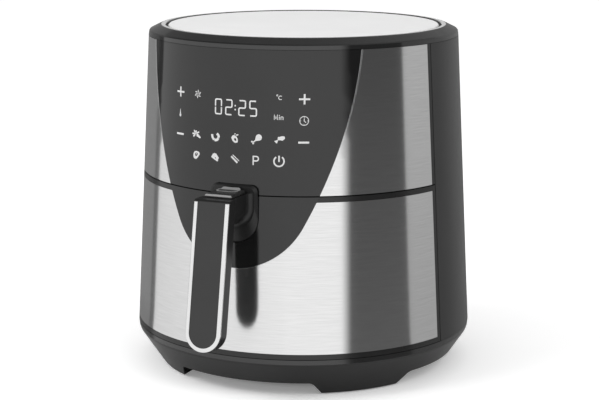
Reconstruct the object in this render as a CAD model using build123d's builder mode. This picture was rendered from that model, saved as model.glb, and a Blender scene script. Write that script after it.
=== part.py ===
from build123d import *

import os
from math import cos, radians, sin, sqrt, tan

# Digital air fryer with a round tapered body: a drawer with a pan and a handled
# basket slides out of the lower half, and a heater and fan sit above it.
# Millimetres, +Z up, front towards -Y. The origin is the middle of the footprint
# on the floor, handle included, so the body's own axis stands behind it.

os.makedirs("parts", exist_ok=True)

# Body and its seams
seam_radius = 150.3         # body radius at the seam above the base
side_taper = 0.0505         # body radius lost for each millimetre of height
base_seam_z = 36.3          # top of the base
split_z = 174.3             # line between the drawer and the control panel
upper_height = 120.2        # from that line to the top ring
shell_wall = 2.5            # rear housing
front_wall = 3.0            # plastic carriers behind the steel and the panel
seam_gap = 0.3              # fixed pieces that meet at a seam
edge_break = 0.7            # small chamfers
drawer_gap = 0.5            # each side of the line round the drawer
front_edge = 36.5           # where the rear housing ends, ahead of the axis
side_gap = 0.8              # line between the rear housing and the front
side_strip = 4.5            # plastic beside the steel
skin_wall = 0.8             # brushed steel and panel sheets
skin_border = 4.2           # plastic that shows above and below the drawer's steel
skin_gap = 0.25             # line between steel and panel
skin_glue = 0.3             # glue under the steel and the panel
pick_reach = 0.01           # how near an edge lies to the place it is picked by

# Black panel outline, seen from the front
panel_drop = 61.9           # its lowest point below the split
panel_bottom_radius = 63.5
panel_bottom_sweep = 63.8   # degrees of the round bottom on each side
panel_top_half = 94.8

# Base and feet
base_knee_drop = 5.2        # knee below the seam
base_knee_step = 0.6        # knee inside the seam's radius
base_knee_round = 1.0
base_slope = 0.6742         # radius lost for each millimetre below the knee
base_wall = 3.0
base_floor_z = 14.0
base_floor_wall = 2.5
foot_ring_width = 23.54
arch_z = 12.3
arch_front_margin = 12.7    # foot that stands between its pad and the gap at the front
arch_side_margin = 17.0     # the same at the sides
arch_flare = 5.0            # the gap grows by this at the floor
arch_round = 4.0
pad_radius = 8.0
pad_margin = 2.0            # foot left inside of the pad
pad_wall = 3.2
pad_proud = 1.2
intake_circle = 48.0
intake_slots = 12
intake_length = 26.0
intake_width = 5.0
post_inset = 5.0            # posts inside the ring of feet
post_radius = 6.0
screw_radius = 2.0
screw_fit = 0.05
screw_head_radius = 4.0
screw_head_wall = 2.2
screw_proud = 3.0           # thread that shows past the last piece

# Top ring and disc
ring_height = 8.9           # from its seam to its lip, the top of the body
ring_edge_rise = 4.1        # from its seam to the edge of its bevel
ring_edge_step = 0.56       # that edge inside the seam's radius
ring_bevel = 9.9            # from that edge in to the lip
lip_width = 4.6
groove_width = 2.4          # between the lip and the disc
disc_drop = 0.4             # disc below the lip
disc_wall = 1.2
shelf_drop = 5.1            # shelf below the lip
shelf_wall = 2.3
shelf_reach = 7.8           # shelf under the disc
spigot_depth = 4.5
spigot_wall = 2.0

# Cooking chamber
liner_room = 14.68          # between the liner and the housing
liner_wall = 1.0
liner_lift = 3.5            # liner above the base's seam
bezel_wall = 2.5
deck_rise = 2.9             # underside of the heater cup's flange above the split
deck_wall = 2.0
runner_width = 10.0
runner_height = 2.9
runner_side_inset = 64.0    # from the pan's side to the middle of a runner
runner_back_inset = 34.0    # from the pan's back to the end of a runner
slide_clearance = 0.3
cup_wall = 1.0
cup_height = 60.8
cup_flange = 5.0            # flange past the liner
shaft_hole_radius = 9.0
switch_width = 7.0
switch_height = 20.0
switch_depth = 11.0
switch_gap = 2.0            # between the switch and the liner
switch_z = 96.0
plunger_radius = 1.5
plunger_rise = 4.0          # above the middle of the switch

# Heater
coil_side_gap = 14.75       # between the coil and the cup
coil_step = 7.0             # added at each half turn
coil_half_turns = 5
coil_tube = 3.25            # tube radius
coil_sides = 8              # facets round the tube
coil_rise = 22.8            # above the flange
coil_lead_bend = 12.0
coil_lead_proud = 10.0      # leads above the cup
lead_clearance = 0.6
clip_wall = 1.5
clip_length = 34.0

# Fan, shaft and motor
shaft_radius = 3.0
shaft_fit = 0.05
shaft_proud = 1.0           # shaft below the fan
shaft_end = 3.0             # shaft above the motor's cap
fan_radius = 58.0
fan_drop = 30.0             # underside of the fan below the top of the cup
fan_height = 14.0
fan_blades = 8
fan_turn = 14.0             # degrees that each blade is turned from the radius
fan_wall = 1.0
fan_hub = 9.0
blade_root = 7.0            # where blades start, inside the hub
blade_tip_gap = 1.0
cooler_radius = 55.0
cooler_gap = 4.0            # above the cup and below the bracket
cooler_height = 10.0
cooler_blades = 6
cooler_turn = -18.0
bracket_wall = 2.0
bracket_gap = 8.0           # between the cooling fan and the bracket's legs
bracket_leg = 5.0
bracket_arm = 14.0
bracket_hub = 20.0
stator_width = 62.0
stator_depth = 74.0
stator_height = 26.0
stator_bore = 15.0
rotor_gap = 0.5
rotor_end_gap = 1.0
winding_width = 28.0
winding_depth = 9.0
winding_gap = 0.5
winding_inset = 12.0        # its middle from the back of the stator
winding_lift = 2.0
winding_proud = 4.0
winding_round = 3.0
cap_bridge = 22.0
cap_strap = 12.0
bolt_x = 25.0
bolt_y = 31.0
bolt_proud = 1.0
bolt_head = 2.0

# Electronics and small fittings
board_wall = 1.6
board_width = 96.0
board_height = 65.0
board_rise = 55.2           # its middle above the split
board_gap = 5.0             # between the cup and the board
board_corner = 2.0
board_post = 3.0
board_post_x = 40.0
board_post_inset = 5.0      # from the top and bottom of the board
display_width = 50.0
display_height = 19.0
display_depth = 9.0
display_rise = 16.5         # its middle above the board's
display_window_margin = 4.0
power_board_gap = 3.0       # between the cup and the board
power_board_length = 78.0
power_board_height = 58.0
power_board_back = 8.0      # its middle behind the axis
component_rise = 34.0       # above the board's lower edge
relay_back = -8.0
relay_length = 20.0
relay_height = 15.0
relay_depth = 10.0
relay_round = 1.0
capacitor_back = 24.0
capacitor_radius = 5.5
capacitor_length = 9.0
probe_radius = 2.0
probe_length = 20.0
probe_inside = 12.0
probe_back = 40.0
probe_drop = 22.0           # below the top of the cup
cutout_radius = 8.0
cutout_cap_radius = 6.5
cutout_height = 5.0         # body and cap alike
cutout_inset = 20.0         # from the side of the cup
cutout_angle = 150.0
vent_width = 104.0
vent_height = 46.0
vent_drop = 26.0            # its middle below the top of the cup
vent_slots = 6
vent_slot_height = 4.0
vent_margin = 5.0
duct_wall = 1.0
duct_inset = 1.0            # duct inside the edge of the vent
outlet_inset = 4.0          # hole in the cup inside the edge of the vent
gland_z = 62.0
gland_radius = 7.0
gland_bore = 3.7
gland_flange = 10.0
gland_proud = 3.0
gland_depth = 6.0           # how far it reaches in from its seat

# Drawer, pan and basket
pan_side_gap = 3.0          # between the pan's rim and the liner
pan_rim_width = 4.0
pan_wall = 1.2
pan_rim_drop = 9.2          # below the heater cup's flange
pan_corner = 14.0
pan_slot_gap = 4.0          # round the basket's tongue
basket_gap = 2.8            # between the basket's rim and the pan
basket_rim_width = 3.0
basket_wall = 1.0
basket_lift = 6.0           # basket's floor above the pan's
basket_corner = 10.0
basket_rim_rise = 2.0       # above the pan's rim
basket_hole = 10.0          # side of each square hole in the floor
basket_hole_pitch = 15.0
basket_hole_rows = 11
basket_hole_margin = 36.0   # from the basket's side to the outermost middles
basket_foot = 5.0
basket_foot_inset = 21.0
pan_bracket_x = 48.0
pan_bracket_z = 88.0
pan_bracket_size = 18.0

# Handle, set out from the front's surface at the split
notch_half = 21.8           # round-bottomed notch in the drawer front
notch_depth = 40.8          # below the split
notch_gap = 0.4
boss_rise = 8.7             # above the split
boss_corner = 6.0
boss_sink = 4.3             # behind the surface
boss_edge = 0.6             # its rim ahead of the surface
boss_ridge = 3.0            # the ridge inside that rim, ahead of the surface
boss_top_fall = 1.0         # from the rim to the ridge
boss_side_fall = 2.1
boss_bottom_fall = 11.7
arm_half = 13.5
arm_rise = 2.4              # its top above the split
arm_flare = 5.4             # hollow round where it grows out of the boss
grip_out = 42.3             # top of the grip's front face, ahead of the surface
grip_cap = 1.5              # plastic above the top of the insert
grip_cap_break = 1.1
grip_tilt = 10.1            # degrees out from the vertical
grip_length = 121.8
grip_half = 15.7
grip_depth = 14.6
grip_joint = 5.5            # depth where its two halves meet
grip_rounding = 3.0
trim_width = 3.2
trim_depth = 1.5
trim_proud = 0.4
insert_gap = 0.15
grip_screws = 3
grip_screw_pitch = 34.0
grip_screw_end = 18.0       # from the last one to the end of the grip
grip_screw_radius = 1.6
grip_screw_head = 3.4
grip_screw_sink = 2.2
grip_screw_cover = 1.0      # plastic between the screw and the insert
tongue_half = 10.0
tongue_height = 12.0
tongue_out = 1.5            # ahead of the surface
tongue_gap = 0.15
tongue_cover = 1.5          # plastic between the tongue and the button's pocket

# Release button under its sliding guard
button_half = 9.5
button_length = 10.0
button_out = 4.7            # its back, ahead of the surface
button_rise = 1.2           # above the arm
button_height = 9.7
button_corner = 1.5
button_travel = 4.0
button_gap = 0.3
guard_half = 12.4
guard_length = 28.1
guard_back_gap = 0.4        # between the guard and the boss
guard_corner = 2.0
guard_wall = 1.2
guard_nose = 2.4            # wall at its front
guard_break = 1.2
guard_lift = 0.3
thumb_half = 9.6            # raised rim round the thumb's place
thumb_length = 13.5
thumb_corner = 5.0
thumb_rim = 1.4
thumb_rise = 0.7
thumb_inset = 1.5           # from the back of the guard
spring_wall = 0.5
spring_width = 6.0
spring_room = 2.5           # left for the pressed spring


def side_radius(z):
    """Radius of the tapered body at a height."""
    return seam_radius - side_taper * (z - base_seam_z)


# Heights worked out from those above
drawer_low_z = base_seam_z + drawer_gap
drawer_top_z = split_z - drawer_gap
upper_low_z = split_z + drawer_gap
ring_seam_z = split_z + upper_height
ring_edge_z = ring_seam_z + ring_edge_rise
lip_z = ring_seam_z + ring_height
shelf_z = lip_z - shelf_drop
shell_low_z = base_seam_z + seam_gap
shell_top_z = ring_seam_z - seam_gap
steel_low_z = drawer_low_z + skin_border
steel_top_z = drawer_top_z - skin_border
panel_bottom_z = split_z - panel_drop
base_knee_z = base_seam_z - base_knee_drop
base_floor_top_z = base_floor_z + base_floor_wall
liner_floor_z = base_seam_z + liner_lift
runner_low_z = liner_floor_z + liner_wall
pan_bottom_z = runner_low_z + runner_height + slide_clearance
basket_floor_z = pan_bottom_z + basket_lift
deck_z = split_z + deck_rise
pan_rim_z = deck_z - pan_rim_drop
basket_rim_z = pan_rim_z + basket_rim_rise
coil_z = deck_z + coil_rise
cup_top_z = deck_z + cup_height
coil_lead_top = cup_top_z + coil_lead_proud
fan_low_z = cup_top_z - fan_drop
cooler_low_z = cup_top_z + cooler_gap
bracket_z = cooler_low_z + cooler_height + cooler_gap
bracket_top_z = bracket_z + bracket_wall
stator_top_z = bracket_top_z + stator_height
cap_top_z = stator_top_z + bracket_wall
vent_z = cup_top_z - vent_drop
probe_z = cup_top_z - probe_drop
board_z = split_z + board_rise
display_z = board_z + display_rise
power_board_low_z = deck_z + cup_wall
component_z = power_board_low_z + component_rise
notch_bottom_z = split_z - notch_depth
boss_bottom_z = notch_bottom_z + notch_gap
boss_top_z = split_z + boss_rise
arm_top_z = split_z + arm_rise
grip_top_z = arm_top_z - grip_cap
button_top_z = arm_top_z + button_rise
button_low_z = button_top_z - button_height
pocket_floor_z = button_low_z - button_travel - spring_room
guard_low_z = arm_top_z + guard_lift
guard_top_z = button_top_z + button_gap + guard_wall
tongue_high_z = pocket_floor_z - tongue_cover
tongue_low_z = tongue_high_z - tongue_height

# Radii and distances from the axis worked out in the same way
drawer_back = front_edge + side_gap
skin_edge = front_edge + side_strip
seat_depth = skin_wall + skin_glue
base_knee_radius = seam_radius - base_knee_step
foot_ring_inner = base_knee_radius - base_slope * (base_knee_z - pad_proud) - foot_ring_width
pad_circle = foot_ring_inner + pad_margin + pad_radius
post_circle = foot_ring_inner - post_inset - post_radius
arch_front_half = pad_circle * sin(radians(45)) - pad_radius - arch_front_margin
arch_side_half = pad_circle * sin(radians(45)) - pad_radius - arch_side_margin
ring_edge_radius = side_radius(ring_seam_z) - ring_edge_step
lip_radius = ring_edge_radius - ring_bevel
lip_inner = lip_radius - lip_width
disc_radius = lip_inner - groove_width
shelf_inner = disc_radius - shelf_reach
liner_radius = side_radius(deck_z) - shell_wall - liner_room
pan_rim_radius = liner_radius - pan_side_gap
pan_radius = pan_rim_radius - pan_rim_width
runner_offset = pan_radius - runner_side_inset
runner_back = pan_radius - runner_back_inset
basket_rim_radius = pan_radius - pan_wall - basket_gap
basket_radius = basket_rim_radius - basket_rim_width
basket_hole_reach = basket_radius - basket_hole_margin
basket_foot_circle = basket_radius - basket_foot_inset
cup_radius = basket_radius
cup_flange_radius = liner_radius + liner_wall + cup_flange
coil_radius = cup_radius - coil_side_gap - coil_tube - coil_step * (coil_half_turns - 1)
bracket_circle = cooler_radius + bracket_gap + bracket_leg
cutout_circle = cup_radius - cutout_inset
board_y = cup_radius + cup_wall + board_gap
power_board_x = cup_radius + cup_wall + power_board_gap
switch_x = liner_radius + liner_wall + switch_gap + switch_width / 2
handle_root = side_radius(split_z)
boss_half = notch_half - notch_gap
boss_back = handle_root - boss_sink
boss_face = handle_root + boss_edge
boss_front = handle_root + boss_ridge
boss_front_half = boss_half - boss_side_fall
boss_front_bottom_z = boss_bottom_z + boss_bottom_fall
arm_bottom_z = boss_front_bottom_z + boss_front_half - arm_half
grip_reach = handle_root + grip_out
tongue_front = handle_root + tongue_out
button_back = handle_root + button_out
button_middle = button_back + button_length / 2
guard_back = boss_front + guard_back_gap
guard_middle = guard_back + guard_length / 2
thumb_middle = guard_back + thumb_inset + thumb_length / 2

# The grip leans out at its foot, and the footprint reaches from there to the gland
tilt_sin = sin(radians(grip_tilt))
tilt_cos = cos(radians(grip_tilt))
tilt_tan = tan(radians(grip_tilt))
front_reach = grip_reach + grip_length * tilt_sin + trim_proud * tilt_cos
gland_seat = side_radius(gland_z - gland_flange)
axis_y = (front_reach - gland_seat - gland_proud) / 2
through = 2 * seam_radius   # longer than any cut has to be


def level(z):
    """Horizontal plane on the body's axis."""
    return Plane((0, axis_y, z))


def facing(ahead):
    """Upright plane that looks forward, so far ahead of the axis: x is right and y is up."""
    return Plane(origin=(0, axis_y - ahead, 0), x_dir=(1, 0, 0), z_dir=(0, -1, 0))


def sideways(right=0.0):
    """Upright plane that looks right: x runs back from the axis and y is up."""
    return Plane(origin=(right, axis_y, 0), x_dir=(0, 1, 0), z_dir=(1, 0, 0))


body_axis = Axis((0, axis_y, 0), (0, 0, 1))
half_section = facing(0)
grip_face = Plane(
    origin=(0, axis_y - grip_reach, grip_top_z),
    x_dir=(1, 0, 0),
    z_dir=(0, -tilt_cos, tilt_sin),
)
grip_back = grip_face.offset(-grip_depth)
grip_normal = Axis(grip_face.origin, grip_face.z_dir)
grip_screw_places = [
    (0, -grip_length + grip_screw_end + grip_screw_pitch * screw) for screw in range(grip_screws)
]


def turned(points, mode=Mode.ADD):
    """Turn a closed outline of (radius, height) points about the body's axis."""
    with BuildSketch(half_section) as outline:
        with BuildLine():
            Polyline(*points, close=True)
        make_face()
    revolve(outline.sketch, axis=body_axis, mode=mode)


def cone_band(low, high, outside, inside, mode=Mode.ADD):
    """A ring of the body's wall, from one depth under its surface to another."""
    turned(
        [
            (side_radius(low) - inside, low),
            (side_radius(low) - outside, low),
            (side_radius(high) - outside, high),
            (side_radius(high) - inside, high),
        ],
        mode,
    )


def cone_plug(low, high, depth, mode=Mode.ADD):
    """The whole inside of the body between two heights, kept a depth under its surface."""
    turned(
        [
            (0, low),
            (side_radius(low) - depth, low),
            (side_radius(high) - depth, high),
            (0, high),
        ],
        mode,
    )


def front_sheet(low, high, edge, depth=skin_wall):
    """The layer under the front's surface that holds the steel and the panel."""
    with BuildPart() as sheet:
        cone_band(low, high, 0, depth)
        split(bisect_by=facing(edge), keep=Keep.TOP)
    return sheet.part


def panel_outline(grow=0.0):
    """The black panel seen from the front, round below and widening to the top ring."""
    with BuildSketch(facing(0)) as outline:
        with BuildLine():
            bottom = CenterArc(
                (0, panel_bottom_z + panel_bottom_radius), panel_bottom_radius, -90, panel_bottom_sweep
            )
            side = TangentArc(bottom @ 1, (panel_top_half, ring_seam_z), tangent=bottom % 1)
            Line(side @ 1, (0, ring_seam_z))
            mirror(about=Plane.YZ)
        make_face()
        if grow:
            offset(amount=grow)
    return outline.sketch


def panel_sheet(low, high, depth=skin_wall):
    """The black panel itself, between two heights."""
    with BuildPart() as sheet:
        add(front_sheet(low, high, skin_edge, depth))
        extrude(panel_outline(), amount=through, mode=Mode.INTERSECT)
    return sheet.part


def slot_outline(half, bottom, top):
    """A slot with a round bottom, seen from the front."""
    with BuildSketch(facing(0)) as outline:
        with BuildLine():
            left = Line((-half, top), (-half, bottom + half))
            round_end = ThreePointArc(left @ 1, (0, bottom), (half, bottom + half))
            right = Line(round_end @ 1, (half, top))
            Line(right @ 1, left @ 0)
        make_face()
    return outline.sketch


def dish(radius, wall, corner, low, rim_radius, rim_z):
    """A round pot with a sloping lower corner and a flat rim."""
    slant = wall * (sqrt(2) - 1)
    turned(
        [
            (0, low),
            (radius - corner, low),
            (radius, low + corner),
            (radius, rim_z - wall),
            (rim_radius, rim_z - wall),
            (rim_radius, rim_z),
            (radius - wall, rim_z),
            (radius - wall, low + corner + slant),
            (radius - corner - slant, low + wall),
            (0, low + wall),
        ]
    )


def blade_wheel(low, disc_low, radius, height, blades, turn):
    """A fan wheel: hub, disc and flat blades, bored for the shaft."""
    blade_tip = radius - blade_tip_gap
    with BuildSketch(level(low)) as spokes:
        Circle(fan_hub)
        with PolarLocations((blade_tip + blade_root) / 2, blades):
            Rectangle(blade_tip - blade_root, fan_wall, rotation=turn)
    extrude(spokes.sketch, amount=height)
    with BuildSketch(level(disc_low)) as disc:
        Circle(radius)
    extrude(disc.sketch, amount=fan_wall)
    with BuildSketch(level(0)) as bore:
        Circle(shaft_radius)
    extrude(bore.sketch, amount=through, mode=Mode.SUBTRACT)


def board_posts():
    """The four posts on the front's carrier that hold the control board."""
    with BuildPart() as posts:
        with BuildSketch(facing(board_y + board_wall)):
            with Locations((0, board_z)):
                with GridLocations(2 * board_post_x, board_height - 2 * board_post_inset, 2, 2):
                    Circle(board_post)
        extrude(amount=through)
        cone_plug(upper_low_z, shell_top_z, front_wall / 2, mode=Mode.INTERSECT)
    return posts.part


# Base: a tapered tray whose rim stands on four feet
with BuildPart() as base:
    turned(
        [
            (0, base_floor_z),
            (foot_ring_inner, base_floor_z),
            (foot_ring_inner, pad_proud),
            (foot_ring_inner + foot_ring_width, pad_proud),
            (base_knee_radius, base_knee_z),
            (seam_radius, base_seam_z),
            (seam_radius - base_wall, base_seam_z),
            (base_knee_radius - base_wall, base_knee_z),
            (base_knee_radius - base_slope * (base_knee_z - base_floor_top_z) - base_wall, base_floor_top_z),
            (0, base_floor_top_z),
        ]
    )
    knee = base.edges().filter_by(GeomType.CIRCLE).sort_by(
        lambda edge: abs(edge.center().Z - base_knee_z) + abs(edge.radius - base_knee_radius)
    )[0]
    chamfer(knee, length=base_knee_round)
    for plane, half in ((facing(0), arch_front_half), (sideways(), arch_side_half)):
        with BuildSketch(plane) as arch:
            with BuildLine():
                Polyline(
                    (-half, arch_z),
                    (half, arch_z),
                    (half + arch_flare, -pad_proud),
                    (-half - arch_flare, -pad_proud),
                    close=True,
                )
            make_face()
            fillet(arch.vertices().group_by(Axis.Y)[-1], radius=arch_round)
        extrude(amount=through, both=True, mode=Mode.SUBTRACT)
    with BuildSketch(level(pad_wall)):
        with PolarLocations(pad_circle, 4, start_angle=45):
            Circle(pad_radius + screw_fit)
    extrude(amount=-through, mode=Mode.SUBTRACT)
    with BuildSketch(level(base_floor_top_z)):
        with PolarLocations(post_circle, 4, start_angle=45):
            Circle(post_radius)
    extrude(amount=liner_floor_z - base_floor_top_z)
    with BuildSketch(level(0)):
        with PolarLocations(post_circle, 4, start_angle=45):
            Circle(screw_radius + screw_fit)
        with PolarLocations(intake_circle, intake_slots):
            Rectangle(intake_length, intake_width)
    extrude(amount=through, mode=Mode.SUBTRACT)

with BuildPart() as rubber_feet:
    with BuildSketch(level(0)):
        with PolarLocations(pad_circle, 4, start_angle=45):
            Circle(pad_radius)
    extrude(amount=pad_wall)
    chamfer(rubber_feet.edges().group_by(Axis.Z)[0], length=edge_break)

with BuildPart() as base_screws:
    with BuildSketch(level(base_floor_z)):
        with PolarLocations(post_circle, 4, start_angle=45):
            Circle(screw_head_radius)
    extrude(amount=-screw_head_wall)
    with BuildSketch(level(base_floor_z)):
        with PolarLocations(post_circle, 4, start_angle=45):
            Circle(screw_radius)
    extrude(amount=liner_floor_z + liner_wall - base_floor_z)

# Rear housing, its vent and the gland that the mains lead comes out of
with BuildPart() as rear_housing:
    cone_band(shell_low_z, shell_top_z, 0, shell_wall)
    split(bisect_by=facing(front_edge), keep=Keep.BOTTOM)
    with BuildSketch(facing(0)):
        with Locations((0, vent_z)):
            Rectangle(vent_width + 2 * seam_gap, vent_height + 2 * seam_gap)
        with Locations((0, gland_z)):
            Circle(gland_radius + seam_gap / 2)
    extrude(amount=-through, mode=Mode.SUBTRACT)

with BuildPart() as exhaust_grille:
    cone_band(vent_z - vent_height, vent_z + vent_height, 0, shell_wall)
    with BuildSketch(facing(0)):
        with Locations((0, vent_z)):
            Rectangle(vent_width, vent_height)
            with GridLocations(0, vent_height / vent_slots, 1, vent_slots):
                Rectangle(vent_width - 2 * vent_margin, vent_slot_height, mode=Mode.SUBTRACT)
    extrude(amount=-through, mode=Mode.INTERSECT)

with BuildPart() as cord_gland:
    with BuildSketch(facing(-gland_seat + gland_depth)):
        with Locations((0, gland_z)):
            Circle(gland_radius)
    extrude(amount=-gland_depth - gland_proud)
    with BuildSketch(facing(-gland_seat)):
        with Locations((0, gland_z)):
            Circle(gland_flange)
    extrude(amount=-gland_proud)
    chamfer(cord_gland.edges().group_by(Axis.Y)[-1], length=edge_break)
    with BuildSketch(facing(0)):
        with Locations((0, gland_z)):
            Circle(gland_bore)
    extrude(amount=-through, mode=Mode.SUBTRACT)

# Top ring with a bevel, a lip and the groove that draws in cooling air
with BuildPart() as top_ring:
    spigot_low_z = ring_seam_z - spigot_depth
    spigot_radius = side_radius(spigot_low_z) - front_wall - 2 * seam_gap
    turned(
        [
            (shelf_inner, shelf_z - shelf_wall),
            (spigot_radius - spigot_wall, shelf_z - shelf_wall),
            (spigot_radius - spigot_wall, spigot_low_z),
            (spigot_radius, spigot_low_z),
            (spigot_radius, ring_seam_z),
            (side_radius(ring_seam_z), ring_seam_z),
            (ring_edge_radius, ring_edge_z),
            (lip_radius, lip_z),
            (lip_inner, lip_z),
            (lip_inner, shelf_z),
            (shelf_inner, shelf_z),
        ]
    )
    rim = top_ring.edges().filter_by(GeomType.CIRCLE)
    chamfer(rim.filter_by(lambda e: abs(e.radius - ring_edge_radius) < pick_reach), length=edge_break)
    chamfer(rim.filter_by(lambda e: abs(e.center().Z - lip_z) < pick_reach), length=edge_break)

with BuildPart() as top_disc:
    disc_top = lip_z - disc_drop
    turned(
        [
            (0, disc_top - disc_wall),
            (disc_radius - disc_wall, disc_top - disc_wall),
            (disc_radius - disc_wall, shelf_z),
            (disc_radius, shelf_z),
            (disc_radius, disc_top),
            (0, disc_top),
        ]
    )
    chamfer(top_disc.edges().group_by(Axis.Z)[-1], length=edge_break)

# Fixed front above the drawer: carrier, brushed steel and control panel
with BuildPart() as front_frame:
    cone_band(upper_low_z, shell_top_z, 0, front_wall)
    cone_plug(upper_low_z, deck_z, front_wall / 2)
    split(bisect_by=facing(drawer_back), keep=Keep.TOP)
    with BuildSketch(level(0)):
        Circle(cup_radius + cup_wall + seam_gap)
    extrude(amount=through, mode=Mode.SUBTRACT)
    add(front_sheet(upper_low_z, shell_top_z, skin_edge, seat_depth), mode=Mode.SUBTRACT)
    with BuildSketch(facing(0)):
        with Locations((0, display_z)):
            Rectangle(display_width + display_window_margin, display_height + display_window_margin)
    extrude(amount=through, mode=Mode.SUBTRACT)
    add(board_posts())

with BuildPart() as front_steel_right:
    add(front_sheet(upper_low_z, shell_top_z, skin_edge + skin_gap))
    extrude(panel_outline(skin_gap), amount=through, mode=Mode.SUBTRACT)
    split(bisect_by=sideways(), keep=Keep.TOP)

with BuildPart() as front_steel_left:
    mirror(front_steel_right.part, about=sideways())

with BuildPart() as control_panel:
    add(panel_sheet(upper_low_z, shell_top_z))

# Cooking chamber, with the runners that the pan slides on
bezel_back = front_edge - bezel_wall
with BuildPart() as chamber_liner:
    with BuildSketch(level(liner_floor_z)):
        Circle(liner_radius + liner_wall)
        with Locations((0, -seam_radius / 2)):
            Rectangle(2 * (liner_radius + liner_wall), seam_radius)
    extrude(amount=deck_z - liner_floor_z)
    with BuildSketch(level(runner_low_z)):
        Circle(liner_radius)
        with Locations((0, -seam_radius / 2)):
            Rectangle(2 * liner_radius, seam_radius)
    extrude(amount=through, mode=Mode.SUBTRACT)
    split(bisect_by=facing(bezel_back), keep=Keep.BOTTOM)
    with BuildSketch(level(0)):
        with PolarLocations(post_circle, 4, start_angle=45):
            Circle(screw_radius + screw_fit)
    extrude(amount=through, mode=Mode.SUBTRACT)

with BuildPart() as floor_runners:
    with BuildSketch(level(runner_low_z)):
        with GridLocations(2 * runner_offset, 0, 2, 1):
            with Locations((0, (runner_back - bezel_back) / 2)):
                Rectangle(runner_width, runner_back + bezel_back - 2 * seam_gap)
    extrude(amount=runner_height)

with BuildPart() as drawer_bezel:
    cone_plug(shell_low_z, deck_z, shell_wall)
    split(bisect_by=facing(front_edge - seam_gap), keep=Keep.BOTTOM)
    split(bisect_by=facing(bezel_back), keep=Keep.TOP)
    with BuildSketch(facing(0)):
        with Locations((0, runner_low_z)):
            Rectangle(2 * liner_radius, through, align=(Align.CENTER, Align.MIN))
        with Locations((switch_x, switch_z + plunger_rise)):
            Circle(plunger_radius + seam_gap)
    extrude(amount=through, mode=Mode.SUBTRACT)

with BuildPart() as drawer_switch:
    with BuildSketch(facing(bezel_back)):
        with Locations((switch_x, switch_z)):
            Rectangle(switch_width, switch_height)
    extrude(amount=-switch_depth)
    with BuildSketch(facing(bezel_back)):
        with Locations((switch_x, switch_z + plunger_rise)):
            Circle(plunger_radius)
    extrude(amount=bezel_wall)

# Heater cup over the pan
lead_places = (
    (coil_radius, -coil_lead_bend),
    (-coil_radius - coil_step * (coil_half_turns - 1), -coil_lead_bend),
)
with BuildPart() as heater_cup:
    turned(
        [
            (0, cup_top_z - cup_wall),
            (cup_radius, cup_top_z - cup_wall),
            (cup_radius, deck_z),
            (cup_flange_radius, deck_z),
            (cup_flange_radius, deck_z + cup_wall),
            (cup_radius + cup_wall, deck_z + cup_wall),
            (cup_radius + cup_wall, cup_top_z),
            (0, cup_top_z),
        ]
    )
    with BuildSketch(level(coil_lead_top)):
        Circle(shaft_hole_radius)
        with Locations(*lead_places):
            Circle(coil_tube + lead_clearance)
        with PolarLocations(bracket_circle, 3, start_angle=90):
            Circle(screw_radius + screw_fit)
    extrude(amount=-coil_lead_top + coil_z, mode=Mode.SUBTRACT)
    with BuildSketch(facing(0)):
        with Locations((0, vent_z)):
            Rectangle(vent_width - 2 * outlet_inset, vent_height - 2 * outlet_inset)
    extrude(amount=-through, mode=Mode.SUBTRACT)
    with BuildSketch(sideways()):
        with Locations((probe_back, probe_z)):
            Circle(probe_radius + screw_fit)
    extrude(amount=-through, mode=Mode.SUBTRACT)

with BuildPart() as exhaust_duct:
    duct_width = vent_width - 2 * duct_inset
    duct_height = vent_height - 2 * duct_inset
    with BuildSketch(facing(0)):
        with Locations((0, vent_z)):
            Rectangle(duct_width, duct_height)
            Rectangle(duct_width - 2 * duct_wall, duct_height - 2 * duct_wall, mode=Mode.SUBTRACT)
    extrude(amount=-through)
    cone_plug(deck_z, cup_top_z, shell_wall + seam_gap, mode=Mode.INTERSECT)
    with BuildSketch(level(0)):
        Circle(cup_radius + cup_wall + seam_gap)
    extrude(amount=through, mode=Mode.SUBTRACT)

# Heating coil: a flat spiral of half turns with both ends turned up through the cup
with BuildPart() as heater_coil:
    with BuildLine(level(coil_z)) as spiral:
        for turn in range(coil_half_turns):
            centre = coil_step if turn % 2 else 0
            CenterArc((centre, 0, 0), coil_radius + coil_step * turn, 180 * (turn % 2), 180)
        for x, y in lead_places:
            half_bend = (x, y * sin(radians(45)), coil_lead_bend * (1 - cos(radians(45))))
            bend = ThreePointArc((x, 0, 0), half_bend, (x, y, coil_lead_bend))
            Line(bend @ 1, (x, y, coil_lead_top - coil_z))
    start = level(coil_lead_top).origin + Vector(*lead_places[0])
    with BuildSketch(Plane(start)):
        RegularPolygon(coil_tube, coil_sides, rotation=180 / coil_sides)
    sweep(path=spiral.wires()[0])

with BuildPart() as coil_clips:
    clip_low_z = coil_z + coil_tube + slide_clearance
    with BuildSketch(level(clip_low_z)):
        with PolarLocations(coil_radius + coil_step * (coil_half_turns - 1) / 2, 3, start_angle=60):
            Rectangle(clip_length, clip_wall)
    extrude(amount=cup_top_z - cup_wall - clip_low_z)

# Convection fan, cooling fan and rotor on one shaft
with BuildPart() as fan_shaft:
    shaft_low_z = fan_low_z - shaft_proud
    with BuildSketch(level(shaft_low_z)):
        Circle(shaft_radius)
    extrude(amount=cap_top_z + shaft_end - shaft_low_z)
    chamfer(fan_shaft.edges().filter_by(GeomType.CIRCLE), length=edge_break)

with BuildPart() as convection_fan:
    blade_wheel(fan_low_z, fan_low_z + fan_height, fan_radius, fan_height, fan_blades, fan_turn)

with BuildPart() as cooling_fan:
    blade_wheel(cooler_low_z, cooler_low_z, cooler_radius, cooler_height, cooler_blades, cooler_turn)

with BuildPart() as motor_rotor:
    with BuildSketch(level(bracket_top_z + rotor_end_gap)):
        Circle(stator_bore - rotor_gap)
        Circle(shaft_radius, mode=Mode.SUBTRACT)
    extrude(amount=stator_height - 2 * rotor_end_gap)

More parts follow.
